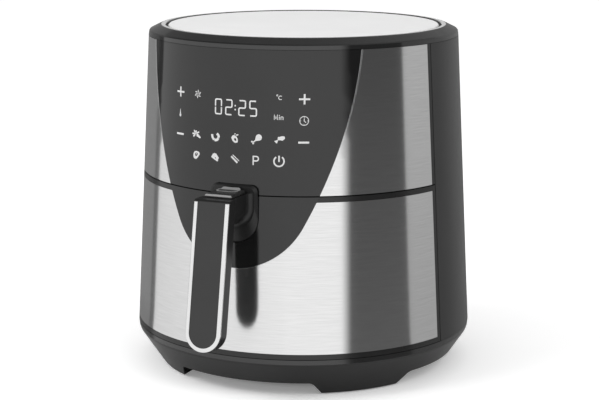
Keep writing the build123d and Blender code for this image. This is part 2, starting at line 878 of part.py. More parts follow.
with BuildPart() as motor_bracket:
    with BuildSketch(level(bracket_z)):
        Circle(bracket_hub)
        with PolarLocations(bracket_circle / 2, 3, start_angle=90):
            Rectangle(bracket_circle, bracket_arm)
        with PolarLocations(bracket_circle, 3, start_angle=90):
            Circle(bracket_arm / 2)
        Rectangle(stator_width, stator_depth)
    extrude(amount=bracket_wall)
    with BuildSketch(level(cup_top_z)):
        with PolarLocations(bracket_circle, 3, start_angle=90):
            Circle(bracket_leg)
    extrude(amount=bracket_z - cup_top_z)
    with BuildSketch(level(0)):
        Circle(shaft_radius + shaft_fit)
        with PolarLocations(bracket_circle, 3, start_angle=90):
            Circle(screw_radius + screw_fit)
        with GridLocations(2 * bolt_x, 2 * bolt_y, 2, 2):
            Circle(screw_radius + screw_fit)
    extrude(amount=through, mode=Mode.SUBTRACT)

winding_y = stator_depth / 2 - winding_inset
with BuildPart() as motor_stator:
    with BuildSketch(level(bracket_top_z)):
        Rectangle(stator_width, stator_depth)
        Circle(stator_bore, mode=Mode.SUBTRACT)
        with Locations((0, winding_y)):
            Rectangle(winding_width + 2 * winding_gap, winding_depth + 2 * winding_gap, mode=Mode.SUBTRACT)
        with GridLocations(2 * bolt_x, 2 * bolt_y, 2, 2):
            Circle(screw_radius + screw_fit, mode=Mode.SUBTRACT)
    extrude(amount=stator_height)

with BuildPart() as motor_winding:
    with BuildSketch(level(bracket_top_z + winding_lift)):
        with Locations((0, winding_y)):
            Rectangle(winding_width, winding_depth)
    extrude(amount=stator_height + winding_proud - winding_lift)
    fillet(motor_winding.edges().filter_by(Axis.Z), radius=winding_round)

with BuildPart() as motor_cap:
    with BuildSketch(level(stator_top_z)):
        Rectangle(stator_width, cap_bridge)
        with GridLocations(2 * bolt_x, 0, 2, 1):
            Rectangle(cap_strap, stator_depth)
        Circle(shaft_radius + shaft_fit, mode=Mode.SUBTRACT)
        with GridLocations(2 * bolt_x, 2 * bolt_y, 2, 2):
            Circle(screw_radius + screw_fit, mode=Mode.SUBTRACT)
    extrude(amount=bracket_wall)

with BuildPart() as stator_bolts:
    with BuildSketch(level(bracket_z - bolt_proud)):
        with GridLocations(2 * bolt_x, 2 * bolt_y, 2, 2):
            Circle(screw_radius)
    extrude(amount=cap_top_z - bracket_z + bolt_proud)
    with BuildSketch(level(cap_top_z)):
        with GridLocations(2 * bolt_x, 2 * bolt_y, 2, 2):
            RegularPolygon(screw_head_radius, 6)
    extrude(amount=bolt_head)

with BuildPart() as bracket_screws:
    with BuildSketch(level(cup_top_z - screw_proud)):
        with PolarLocations(bracket_circle, 3, start_angle=90):
            Circle(screw_radius)
    extrude(amount=bracket_top_z - cup_top_z + screw_proud)
    with BuildSketch(level(bracket_top_z)):
        with PolarLocations(bracket_circle, 3, start_angle=90):
            Circle(screw_head_radius)
    extrude(amount=screw_head_wall)
    chamfer(bracket_screws.edges().group_by(Axis.Z)[-1], length=edge_break)

# Sensors and electronics
with BuildPart() as temperature_probe:
    probe_x = -sqrt((cup_radius + cup_wall) ** 2 - probe_back**2)
    with BuildSketch(sideways(probe_x + probe_inside)):
        with Locations((probe_back, probe_z)):
            Circle(probe_radius)
    extrude(amount=-probe_length)
    chamfer(temperature_probe.edges().group_by(Axis.X)[-1], length=edge_break)

with BuildPart() as thermal_cutout:
    with BuildSketch(level(cup_top_z)):
        with PolarLocations(cutout_circle, 1, start_angle=cutout_angle):
            Circle(cutout_radius)
    extrude(amount=cutout_height)
    with BuildSketch(level(cup_top_z + cutout_height)):
        with PolarLocations(cutout_circle, 1, start_angle=cutout_angle):
            Circle(cutout_cap_radius)
    extrude(amount=cutout_height)

with BuildPart() as control_board:
    with BuildSketch(facing(board_y)):
        with Locations((0, board_z)):
            RectangleRounded(board_width, board_height, board_corner)
    extrude(amount=board_wall)

with BuildPart() as display_module:
    with BuildSketch(facing(board_y + board_wall)):
        with Locations((0, display_z)):
            Rectangle(display_width, display_height)
    extrude(amount=display_depth)

with BuildPart() as power_board:
    with BuildSketch(sideways(power_board_x)):
        with Locations((power_board_back, power_board_low_z + power_board_height / 2)):
            Rectangle(power_board_length, power_board_height)
    extrude(amount=board_wall)

with BuildPart() as power_relay:
    with BuildSketch(sideways(power_board_x + board_wall)):
        with Locations((relay_back, component_z)):
            Rectangle(relay_length, relay_height)
    extrude(amount=relay_depth)
    fillet(power_relay.edges().filter_by(Axis.X), radius=relay_round)

with BuildPart() as power_capacitor:
    with BuildSketch(sideways(power_board_x + board_wall)):
        with Locations((capacitor_back, component_z)):
            Circle(capacitor_radius)
    extrude(amount=capacitor_length)

# Drawer front, with a notch for the handle
with BuildPart() as drawer_front:
    cone_band(drawer_low_z, drawer_top_z, 0, front_wall)
    cone_plug(drawer_low_z, drawer_low_z + deck_wall, front_wall / 2)
    cone_plug(drawer_top_z - deck_wall, drawer_top_z, front_wall / 2)
    split(bisect_by=facing(drawer_back), keep=Keep.TOP)
    with BuildSketch(level(0)):
        Circle(pan_rim_radius + seam_gap)
    extrude(amount=through, mode=Mode.SUBTRACT)
    add(front_sheet(steel_low_z, steel_top_z, skin_edge, seat_depth), mode=Mode.SUBTRACT)
    add(panel_sheet(steel_low_z, drawer_top_z, seat_depth), mode=Mode.SUBTRACT)
    extrude(slot_outline(notch_half, notch_bottom_z, boss_top_z), amount=through, mode=Mode.SUBTRACT)

with BuildPart() as drawer_steel:
    add(front_sheet(steel_low_z + skin_gap, steel_top_z - skin_gap, skin_edge + skin_gap))
    extrude(panel_outline(skin_gap), amount=through, mode=Mode.SUBTRACT)

with BuildPart() as drawer_panel:
    add(panel_sheet(steel_low_z, drawer_top_z))
    extrude(slot_outline(notch_half, notch_bottom_z, boss_top_z), amount=through, mode=Mode.SUBTRACT)

# Pan and its brackets
with BuildPart() as pan:
    dish(pan_radius, pan_wall, pan_corner, pan_bottom_z, pan_rim_radius, pan_rim_z)
    with BuildSketch(facing(0)):
        with Locations((0, tongue_low_z - pan_slot_gap)):
            Rectangle(2 * (tongue_half + pan_slot_gap), through, align=(Align.CENTER, Align.MIN))
    extrude(amount=through, mode=Mode.SUBTRACT)

with BuildPart() as pan_brackets:
    with BuildSketch(facing(0)):
        with GridLocations(2 * pan_bracket_x, 0, 2, 1):
            with Locations((0, pan_bracket_z)):
                Rectangle(pan_bracket_size, pan_bracket_size)
    extrude(amount=through)
    cone_plug(drawer_low_z, drawer_top_z, front_wall, mode=Mode.INTERSECT)
    with BuildSketch(level(0)):
        Circle(pan_radius)
    extrude(amount=through, mode=Mode.SUBTRACT)

# Basket with a perforated floor, standing on stamped feet in the pan
with BuildPart() as basket:
    dish(basket_radius, basket_wall, basket_corner, basket_floor_z, basket_rim_radius, basket_rim_z)
    with BuildSketch(level(0)):
        for place in GridLocations(basket_hole_pitch, basket_hole_pitch, basket_hole_rows, basket_hole_rows):
            if place.position.length < basket_hole_reach:
                with Locations(place):
                    Rectangle(basket_hole, basket_hole)
    extrude(amount=basket_floor_z + basket_corner, mode=Mode.SUBTRACT)
    foot_low_z = pan_bottom_z + pan_wall + seam_gap
    with BuildSketch(level(foot_low_z)):
        with PolarLocations(basket_foot_circle, 4, start_angle=45):
            Circle(basket_foot)
    extrude(amount=basket_floor_z - foot_low_z)

with BuildPart() as basket_tongue:
    with BuildSketch(facing(0)):
        with Locations((0, tongue_low_z)):
            Rectangle(2 * tongue_half, tongue_height, align=(Align.CENTER, Align.MIN))
    extrude(amount=tongue_front)
    with BuildSketch(level(0)):
        Circle(basket_radius)
    extrude(amount=through, mode=Mode.SUBTRACT)


def boss_outline(half, bottom, top, ahead):
    """The boss seen from the front: a round-bottomed slot with rounded top corners."""
    with BuildSketch(facing(ahead)) as outline:
        with BuildLine():
            left = Line((-half, top), (-half, bottom + half))
            round_end = ThreePointArc(left @ 1, (0, bottom), (half, bottom + half))
            right = Line(round_end @ 1, (half, top))
            Line(right @ 1, left @ 0)
        make_face()
        fillet(outline.vertices().group_by(Axis.Y)[-1], radius=boss_corner)
    return outline.sketch


def grip_outline(inset=0.0, top=0.0):
    """The grip's front: straight sides and a round bottom end."""
    half = grip_half - inset
    end = -grip_length + grip_half
    with BuildSketch(grip_face) as outline:
        with BuildLine():
            left = Line((-half, top), (-half, end))
            round_end = ThreePointArc(left @ 1, (0, end - half), (half, end))
            right = Line(round_end @ 1, (half, top))
            Line(right @ 1, left @ 0)
        make_face()
    return outline.sketch


def grip_block():
    """The whole grip without its trim: softened at the back and level with the arm on top."""
    with BuildPart() as block:
        extrude(grip_outline(top=grip_cap / tilt_cos + grip_depth * tilt_tan), amount=-grip_depth)
        back_rim = block.faces().sort_by(grip_normal)[0].edges()
        fillet(back_rim.sort_by(Axis.Z)[:-1], radius=grip_rounding)
        split(bisect_by=level(arm_top_z), keep=Keep.BOTTOM)
    return block.part


def arm_block():
    """The arm, which flares into a plate on the boss and ends inside the grip."""
    root_y = axis_y - boss_front
    with BuildPart() as arm:
        extrude(slot_outline(boss_front_half, boss_front_bottom_z, arm_top_z), amount=boss_front)
        extrude(slot_outline(arm_half, arm_bottom_z, arm_top_z), amount=grip_reach)
        root = arm.edges().filter_by_position(Axis.Y, root_y - pick_reach, root_y + pick_reach)
        root = root.filter_by(lambda edge: abs(edge.bounding_box().max.X) < arm_half + pick_reach)
        root = root.filter_by(lambda edge: abs(edge.bounding_box().min.X) < arm_half + pick_reach)
        fillet(root, radius=arm_flare)
        split(bisect_by=facing(boss_face), keep=Keep.TOP)
    return arm.part


# Handle: boss and arm in one, with the back half of the grip
with BuildPart() as handle_arm:
    add(arm_block())
    add(grip_block())
    split(bisect_by=grip_face.offset(-grip_joint), keep=Keep.BOTTOM)
    loft(
        [
            boss_outline(boss_half, boss_bottom_z, boss_top_z, boss_face).face(),
            boss_outline(
                boss_front_half, boss_front_bottom_z, boss_top_z - boss_top_fall, boss_front
            ).face(),
        ]
    )
    with BuildSketch(facing(boss_back)):
        add(slot_outline(boss_half, boss_bottom_z, drawer_top_z))
    extrude(amount=boss_face - boss_back)
    with BuildSketch(level(pocket_floor_z)):
        with Locations((0, -button_middle)):
            Rectangle(2 * (button_half + button_gap), button_length + 2 * button_gap)
    extrude(amount=through, mode=Mode.SUBTRACT)
    with BuildSketch(facing(0)):
        with Locations((0, tongue_low_z + tongue_height / 2)):
            Rectangle(2 * (tongue_half + tongue_gap), tongue_height + 2 * tongue_gap)
    extrude(amount=tongue_front + tongue_gap, mode=Mode.SUBTRACT)
    with BuildSketch(grip_back):
        with Locations(*grip_screw_places):
            Circle(grip_screw_head + seam_gap)
    extrude(amount=grip_screw_sink, mode=Mode.SUBTRACT)
    with BuildSketch(grip_back):
        with Locations(*grip_screw_places):
            Circle(grip_screw_radius + screw_fit)
    extrude(amount=grip_depth, mode=Mode.SUBTRACT)

# Front half of the grip, with a bright U-shaped trim round a dark insert
screw_reach = grip_depth - trim_depth - grip_screw_cover
with BuildPart() as handle_front:
    add(grip_block())
    split(bisect_by=grip_face.offset(-grip_joint), keep=Keep.TOP)
    chamfer(handle_front.faces().sort_by(Axis.Z)[-1].edges().sort_by(Axis.Y)[0], length=grip_cap_break)
    extrude(grip_outline(), amount=-trim_depth, mode=Mode.SUBTRACT)
    with BuildSketch(grip_back):
        with Locations(*grip_screw_places):
            Circle(grip_screw_radius + screw_fit)
    extrude(amount=screw_reach, mode=Mode.SUBTRACT)

with BuildPart() as handle_trim:
    extrude(grip_outline(), amount=trim_proud)
    extrude(grip_outline(), amount=-trim_depth)
    chamfer(handle_trim.faces().sort_by(grip_normal)[-1].edges(), length=trim_proud)
    extrude(grip_outline(trim_width, top=grip_length), amount=grip_depth, both=True, mode=Mode.SUBTRACT)

with BuildPart() as handle_insert:
    extrude(grip_outline(trim_width + insert_gap), amount=-trim_depth)

with BuildPart() as handle_screws:
    with BuildSketch(grip_back.offset(grip_screw_sink)):
        with Locations(*grip_screw_places):
            Circle(grip_screw_head)
    extrude(amount=-grip_screw_radius)
    with BuildSketch(grip_back.offset(grip_screw_sink)):
        with Locations(*grip_screw_places):
            Circle(grip_screw_radius)
    extrude(amount=screw_reach - grip_screw_sink)

# Release button on a leaf spring, under a guard that slides forward off it
with BuildPart() as release_button:
    with BuildSketch(level(button_low_z)):
        with Locations((0, -button_middle)):
            RectangleRounded(2 * button_half, button_length, button_corner)
    extrude(amount=button_height)
    chamfer(release_button.edges().group_by(Axis.Z)[-1], length=edge_break)

with BuildPart() as button_spring:
    spring_low = pocket_floor_z + button_gap / 2
    spring_crest = button_low_z - button_gap
    spring_back = -button_back - button_gap
    spring_front = spring_back - button_length + 2 * button_gap
    with BuildSketch(sideways(-spring_width / 2)):
        with BuildLine():
            outer = ThreePointArc(
                (spring_front, spring_low), (-button_middle, spring_crest), (spring_back, spring_low)
            )
            heel = Line(outer @ 1, (spring_back - spring_wall, spring_low))
            inner = ThreePointArc(
                heel @ 1,
                (-button_middle, spring_crest - spring_wall),
                (spring_front + spring_wall, spring_low),
            )
            Line(inner @ 1, outer @ 0)
        make_face()
    extrude(amount=spring_width)

with BuildPart() as button_guard:
    with BuildSketch(level(guard_low_z)):
        with Locations((0, -guard_middle)):
            RectangleRounded(2 * guard_half, guard_length, guard_corner)
    extrude(amount=guard_top_z - guard_low_z)
    chamfer(button_guard.edges().group_by(Axis.Z)[-1], length=guard_break)
    with BuildSketch(level(guard_low_z)):
        with Locations((0, -guard_back)):
            Rectangle(2 * (guard_half - guard_wall), 2 * (guard_length - guard_nose))
    extrude(amount=guard_top_z - guard_wall - guard_low_z, mode=Mode.SUBTRACT)
    with BuildSketch(level(guard_top_z)):
        with Locations((0, -thumb_middle)):
            RectangleRounded(2 * thumb_half, thumb_length, thumb_corner)
        offset(amount=-thumb_rim, mode=Mode.SUBTRACT)
    extrude(amount=thumb_rise)

pieces = {
    "base": base,
    "rubber_feet": rubber_feet,
    "base_screws": base_screws,
    "rear_housing": rear_housing,
    "exhaust_grille": exhaust_grille,
    "exhaust_duct": exhaust_duct,
    "cord_gland": cord_gland,
    "top_ring": top_ring,
    "top_disc": top_disc,
    "front_frame": front_frame,
    "front_steel_right": front_steel_right,
    "front_steel_left": front_steel_left,
    "control_panel": control_panel,
    "chamber_liner": chamber_liner,
    "floor_runners": floor_runners,
    "drawer_bezel": drawer_bezel,
    "drawer_switch": drawer_switch,
    "heater_cup": heater_cup,
    "heater_coil": heater_coil,
    "coil_clips": coil_clips,
    "fan_shaft": fan_shaft,
    "convection_fan": convection_fan,
    "cooling_fan": cooling_fan,
    "motor_rotor": motor_rotor,
    "motor_bracket": motor_bracket,
    "motor_stator": motor_stator,
    "motor_winding": motor_winding,
    "motor_cap": motor_cap,
    "stator_bolts": stator_bolts,
    "bracket_screws": bracket_screws,
    "temperature_probe": temperature_probe,
    "thermal_cutout": thermal_cutout,
    "control_board": control_board,
    "display_module": display_module,
    "power_board": power_board,
    "power_relay": power_relay,
    "power_capacitor": power_capacitor,
    "drawer_front": drawer_front,
    "drawer_steel": drawer_steel,
    "drawer_panel": drawer_panel,
    "pan": pan,
    "pan_brackets": pan_brackets,
    "basket": basket,
    "basket_tongue": basket_tongue,
    "handle_arm": handle_arm,
    "handle_front": handle_front,
    "handle_trim": handle_trim,
    "handle_insert": handle_insert,
    "handle_screws": handle_screws,
    "release_button": release_button,
    "button_spring": button_spring,
    "button_guard": button_guard,
}
for name, piece in pieces.items():
    piece.part.label = name
    export_step(piece.part, f"parts/{name}.step")
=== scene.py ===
from math import asin, atan2, cos, pi, radians, sin, sqrt

import bmesh
import bpy
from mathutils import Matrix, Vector


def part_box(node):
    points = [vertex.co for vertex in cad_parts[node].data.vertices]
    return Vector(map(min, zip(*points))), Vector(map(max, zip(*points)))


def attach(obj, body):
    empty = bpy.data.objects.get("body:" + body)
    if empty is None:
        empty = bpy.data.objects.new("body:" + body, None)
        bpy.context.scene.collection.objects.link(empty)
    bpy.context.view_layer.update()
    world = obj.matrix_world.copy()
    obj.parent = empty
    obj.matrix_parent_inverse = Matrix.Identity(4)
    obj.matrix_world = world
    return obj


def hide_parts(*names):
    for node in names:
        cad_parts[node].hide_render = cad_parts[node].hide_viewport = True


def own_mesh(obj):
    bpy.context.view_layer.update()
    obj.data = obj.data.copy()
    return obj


# Looks of the air fryer: finishes, added pieces and a white studio, in metres in the solids' frame

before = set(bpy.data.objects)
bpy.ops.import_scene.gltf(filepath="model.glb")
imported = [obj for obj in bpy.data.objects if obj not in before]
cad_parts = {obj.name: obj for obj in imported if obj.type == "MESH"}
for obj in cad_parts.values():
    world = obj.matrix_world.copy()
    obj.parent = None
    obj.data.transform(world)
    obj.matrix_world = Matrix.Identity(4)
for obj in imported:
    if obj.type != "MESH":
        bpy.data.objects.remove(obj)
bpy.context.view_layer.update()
scene = bpy.context.scene
mm = 0.001

# Shape of the body, read from the solids
disc_low, disc_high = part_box("top_disc")
shell_low, shell_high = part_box("rear_housing")
coil_low, coil_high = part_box("heater_coil")
guard_low, guard_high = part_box("button_guard")
panel_low, panel_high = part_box("control_panel")
panel_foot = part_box("drawer_panel")[0]
drawer_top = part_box("drawer_steel")[1].z
axis_y = (disc_low.y + disc_high.y) / 2
foot_radius = shell_high.x
top_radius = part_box("top_ring")[1].x
taper = (foot_radius - top_radius) / (shell_high.z - shell_low.z)

# Camera, measured from the body's axis at floor level
camera_place = Vector((0.6069, -1.3957, 0.4534))
camera_down = 11.546         # degrees below the horizon
camera_turn = 23.621         # degrees round from the front
camera_lens = 102.7
camera_sensor = 36.0

# Light
ambient = 0.70               # world light that reaches the surfaces
floor_size = 40.0
floor_colour = 0.80
floor_mirrored = 0.50        # floor as reflections show it
floor_seen = 1.08            # floor as the camera shows it
floor_glow = 0.22            # brings it up to white where lit, with the shadow kept
floor_covered = (0.08, 0.11)  # distances from the body's axis between which the glow begins; nearer the axis the floor is left darker as painted shade under the body
card_radius = 0.36           # reflection cards stand round the body, each on a foot on the floor
card_foot = 0.19
card_narrow = 0.19           # share by which a card's foot narrows towards the body
card_height = 0.45
card_lift = 1 * mm           # of a card's foot above the floor
card_stack = 20              # an inset card's foot is lifted by its inset over this
card_steps = 16              # along the arc
card_rise = (0.0, 0.27)      # heights between which a card comes up to its own level
sky_rise = (0.15, 0.40)      # sines of the elevations between which the studio goes dim
sky_dim = (0.10, 0.35)       # levels overhead, at the left and at the right
sky_across = (-0.5, 0.5)     # rightward parts of the direction between which that changes
lamp_aim = 0.15              # height that the lamps face


def side_radius(z):
    """Radius of the tapered body at a height."""
    return foot_radius - taper * (z - shell_low.z)


def on_front(across, z, lift):
    """Point on the front: across is measured round the surface from its middle line."""
    turn = across / side_radius(z)
    reach = side_radius(z) + lift
    return Vector((reach * sin(turn), axis_y - reach * cos(turn), z))


# Materials
noise_range = (0.3, 0.7)     # where most of a noise's values lie
mix_first, mix_second, mix_result = 6, 7, 2     # colour sockets of a mix node


def add_node(material, kind, inputs=None, **settings):
    """A shader node with its settings, and with its sockets linked or set."""
    node = material.node_tree.nodes.new(kind)
    for name, value in settings.items():
        setattr(node, name, value)
    for name, value in (inputs or {}).items():
        if isinstance(value, bpy.types.NodeSocket):
            material.node_tree.links.new(value, node.inputs[name])
        else:
            node.inputs[name].default_value = value
    return node


def grey(level, warmth=0.0):
    """A neutral colour, slightly warm or cool."""
    return (level * (1 + warmth), level, level * (1 - warmth), 1.0)


def start_material(slot, constants):
    """A material with its shader, and the shader's constant values set on its own sockets."""
    material = bpy.data.materials.new("finish_" + slot)
    material.use_nodes = True
    shader = material.node_tree.nodes["Principled BSDF"]
    for name, value in constants.items():
        shader.inputs[name].default_value = value
    return material, shader


def noise(material, place, size, detail=2.0):
    """Noise whose patches are about a given size, in metres."""
    found = add_node(
        material,
        "ShaderNodeTexNoise",
        {"Vector": place, "Scale": 1 / size, "Detail": detail, "Roughness": 0.55},
    )
    return found.outputs["Factor"] if "Factor" in found.outputs else found.outputs["Fac"]


def math_node(material, operation, *values):
    """Result of one step of arithmetic on values or sockets."""
    found = add_node(material, "ShaderNodeMath", dict(enumerate(values)), operation=operation)
    return found.outputs["Value"]


def ramp_node(material, value, start, end, first=0.0, last=1.0):
    """A level that runs from first to last while a value runs from start to end."""
    limits = {"Value": value, "From Min": start, "From Max": end, "To Min": first, "To Max": last}
    return add_node(material, "ShaderNodeMapRange", limits).outputs["Result"]


def between(material, factor, low, high):
    """A value that wanders between two limits with the noise."""
    return ramp_node(material, factor, *noise_range, low, high)


def colour_between(material, factor, dark, light):
    """A colour that wanders between two close tones with the noise."""
    ramp = add_node(material, "ShaderNodeValToRGB", {"Fac": factor})
    for stop, position, colour in zip(ramp.color_ramp.elements, noise_range, (dark, light)):
        stop.position = position
        stop.color = colour
    return ramp.outputs["Color"]


def set_surface(material, shader, colour, roughness, height, relief):
    """Link the wandering colour, roughness and relief to the shader."""
    bump = add_node(material, "ShaderNodeBump", {"Height": height, "Distance": relief, "Strength": 1.0})
    links = material.node_tree.links
    links.new(colour, shader.inputs["Base Color"])
    links.new(roughness, shader.inputs["Roughness"])
    links.new(bump.outputs["Normal"], shader.inputs["Normal"])


def moulded(slot, dark, light, rough, grain=0.5 * mm, relief=0.01 * mm, patch=40 * mm, **constants):
    """Moulded, painted or cast surface: fine grain, with colour and gloss that wander a little."""
    material, shader = start_material(slot, constants)
    place = add_node(material, "ShaderNodeTexCoord").outputs["Object"]
    fine = noise(material, place, grain)
    broad = noise(material, place, patch, detail=4.0)
    colour = colour_between(material, broad, dark, light)
    set_surface(material, shader, colour, between(material, broad, *rough), fine, relief)
    return material


def brushed(slot, dark, light, rough, anisotropy, streak=30 * mm, pitch=1.2 * mm, relief=0.001 * mm):
    """Metal brushed round the body's axis: long fine streaks, with gloss drawn out across them."""
    constants = {"Metallic": 1.0, "Anisotropic": anisotropy, "Anisotropic Rotation": 0.25}
    material, shader = start_material(slot, constants)
    place = add_node(material, "ShaderNodeTexCoord").outputs["Object"]
    from_axis = add_node(
        material, "ShaderNodeVectorMath", {0: place, 1: (0.0, axis_y, 0.0)}, operation="SUBTRACT"
    ).outputs["Vector"]
    split = add_node(material, "ShaderNodeSeparateXYZ", {"Vector": from_axis})
    ahead = math_node(material, "MULTIPLY", split.outputs["Y"], -1.0)
    turn = math_node(material, "ARCTAN2", split.outputs["X"], ahead)
    streaks = []
    for length, width in ((streak, pitch), (streak / 2, pitch / 4)):
        along = math_node(material, "MULTIPLY", turn, top_radius / length)
        up = math_node(material, "MULTIPLY", split.outputs["Z"], 1 / width)
        spread = add_node(material, "ShaderNodeCombineXYZ", {"X": along, "Z": up}).outputs["Vector"]
        streaks.append(noise(material, spread, 1.0, detail=3.0))
    both = math_node(material, "MULTIPLY", math_node(material, "ADD", *streaks), 0.5)
    tangent = add_node(
        material, "ShaderNodeVectorMath", {0: (0.0, 0.0, 1.0), 1: from_axis}, operation="CROSS_PRODUCT"
    ).outputs["Vector"]
    material.node_tree.links.new(tangent, shader.inputs["Tangent"])
    colour = colour_between(material, both, dark, light)
    set_surface(material, shader, colour, between(material, streaks[1], *rough), streaks[1], relief)
    return material


# Painted highlights on the guard: a paler raised rim and a paler upper front edge
guard_painted_highlight_share = 0.28            # share of the guard's height below its painted highlight on the front edge
guard_painted_highlight_blur = 0.2 * mm
guard_front_highlight_ends = (1.6 * mm, 1.0 * mm)  # distances from the front between which the painted highlight on the front edge begins
guard_rim_highlight_ends = (0.6 * mm, 0.2 * mm)   # depths below the top between which the rim's painted highlight begins
guard_patch = 8 * mm
guard_grain = 0.4 * mm
guard_relief = 0.002 * mm
guard_wander = 0.1           # share by which the plate's tone wanders


def guard_plastic_painted_highlights(slot, plate, rim, front_highlight, rough):
    """Dark glossy plate with painted highlights: a paler raised rim for the thumb and a paler upper front
    edge.
    """
    material, shader = start_material(slot, {"IOR": 1.5})
    highlight_low_z = guard_low.z + (guard_high.z - guard_low.z) * guard_painted_highlight_share
    place = add_node(material, "ShaderNodeTexCoord").outputs["Object"]
    split = add_node(material, "ShaderNodeSeparateXYZ", {"Vector": place})
    rim_highlight_heights = [guard_high.z - depth for depth in guard_rim_highlight_ends]
    front_highlight_places = [guard_low.y + distance for distance in guard_front_highlight_ends]
    rim_highlight_mask = ramp_node(material, split.outputs["Z"], *rim_highlight_heights)
    forward = ramp_node(material, split.outputs["Y"], *front_highlight_places)
    upper = ramp_node(material, split.outputs["Z"], highlight_low_z - guard_painted_highlight_blur, highlight_low_z + guard_painted_highlight_blur)
    front = math_node(material, "MULTIPLY", forward, upper)
    broad = noise(material, place, guard_patch, detail=4.0)
    dark, light = grey(plate * (1 - guard_wander)), grey(plate * (1 + guard_wander))
    tone = colour_between(material, broad, dark, light)
    # the raised rim and the upper front edge are mixed in at paler tones, as painted highlights
    for share, level in ((rim_highlight_mask, rim), (front, front_highlight)):
        mix = add_node(material, "ShaderNodeMix", {"Factor": share}, data_type="RGBA")
        material.node_tree.links.new(tone, mix.inputs[mix_first])
        mix.inputs[mix_second].default_value = grey(level)
        tone = mix.outputs[mix_result]
    fine = noise(material, place, guard_grain)
    set_surface(material, shader, tone, between(material, broad, *rough), fine, guard_relief)
    return material


finishes = {
    "black_plastic": moulded(
        "black_plastic", grey(0.014), grey(0.018), (0.20, 0.26), relief=0.003 * mm
    ),
    "panel_black": moulded(
        "panel_black", grey(0.008), grey(0.010), (0.08, 0.10), relief=0.0005 * mm, IOR=1.60
    ),
    "brushed_steel": brushed("brushed_steel", grey(0.76), grey(0.88), (0.13, 0.16), 0.5),
    "top_silver": moulded("top_silver", grey(0.86), grey(0.885), (0.50, 0.58), grain=0.3 * mm),
    "bright_trim": moulded(
        "bright_trim", grey(0.84), grey(0.90), (0.20, 0.28), relief=0.002 * mm, Metallic=1.0
    ),
    # guard tones: plate 0.022, then painted highlights of 0.26 on the raised rim and 0.33 on the upper
    # front edge
    "guard_grey": guard_plastic_painted_highlights("guard_grey", 0.022, 0.26, 0.33, (0.18, 0.24)),
    "insert_grey": moulded("insert_grey", grey(0.024), grey(0.029), (0.38, 0.46), relief=0.006 * mm),
    "rubber": moulded("rubber", grey(0.020), grey(0.030), (0.75, 0.88), relief=0.03 * mm),
    "sheet_steel": moulded(
        "sheet_steel", grey(0.46), grey(0.62), (0.32, 0.45), grain=2.5 * mm, patch=9 * mm, Metallic=1.0
    ),
    "nonstick": moulded(
        "nonstick", grey(0.020), grey(0.034), (0.30, 0.42), grain=0.6 * mm, relief=0.02 * mm, patch=1.2 * mm
    ),
    "heater_sheath": moulded(
        "heater_sheath", grey(0.10, 0.10), grey(0.22, 0.04), (0.38, 0.55), patch=14 * mm, Metallic=1.0
    ),
    "screw_steel": moulded("screw_steel", grey(0.42), grey(0.55), (0.25, 0.38), patch=3 * mm, Metallic=1.0),
    "fan_aluminium": moulded(
        "fan_aluminium", grey(0.68), grey(0.80), (0.28, 0.40), grain=0.8 * mm, patch=12 * mm, Metallic=1.0
    ),
    "laminations": brushed("laminations", grey(0.16), grey(0.28), (0.40, 0.55), 0.4, pitch=0.5 * mm),
    "copper": brushed(
        "copper", (0.42, 0.16, 0.06, 1), (0.68, 0.30, 0.12, 1), (0.25, 0.38), 0.4, pitch=0.6 * mm
    ),
    "circuit_board": moulded(
        "circuit_board", (0.012, 0.085, 0.030, 1), (0.022, 0.13, 0.050, 1), (0.28, 0.42), patch=3 * mm
    ),
    "component_white": moulded("component_white", grey(0.75), grey(0.80), (0.40, 0.5)),
    "component_dark": moulded("component_dark", grey(0.025), grey(0.035), (0.30, 0.4)),
    "spring_steel": moulded(
        "spring_steel", grey(0.50), grey(0.62), (0.22, 0.32), patch=4 * mm, Metallic=1.0
    ),
}

blackened_screws = moulded(
    "blackened_screws", grey(0.05), grey(0.08), (0.35, 0.45), patch=3 * mm, Metallic=1.0
)

gloss_ring = moulded(
    "gloss_ring", grey(0.012), grey(0.015), (0.08, 0.12), relief=0.0005 * mm, IOR=1.70
)
gloss_base = moulded(
    "gloss_base", grey(0.012), grey(0.015), (0.16, 0.22), relief=0.001 * mm, IOR=1.70
)
satin_handle = moulded(
    "satin_handle", grey(0.012), grey(0.015), (0.28, 0.34), **{"Specular IOR Level": 0.38}
)
own_finishes = {
    "handle_screws": blackened_screws,
    "top_ring": gloss_ring,
    "base": gloss_base,
    "handle_arm": satin_handle,
    "handle_front": satin_handle,
}

for name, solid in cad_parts.items():
    for place in solid.material_slots:
        place.material = own_finishes.get(name, finishes[place.material.name])


# Added pieces
def add_piece(name, shape, finish):
    """An object made from a shape that is then let go."""
    mesh = bpy.data.meshes.new(name)
    shape.to_mesh(mesh)
    shape.free()
    mesh.materials.append(finishes[finish])
    piece = bpy.data.objects.new(name, mesh)
    scene.collection.objects.link(piece)
    return piece


def thicken(piece, depth):
    """Give a sheet a thickness behind its face."""
    thickness = piece.modifiers.new("thickness", "SOLIDIFY")
    thickness.thickness = depth
    thickness.offset = -1


# Flat marks, drawn in millimetres round their own middle
mitre_least = 0.5            # least cosine that a sharp corner is mitred by
oval_steps = 24


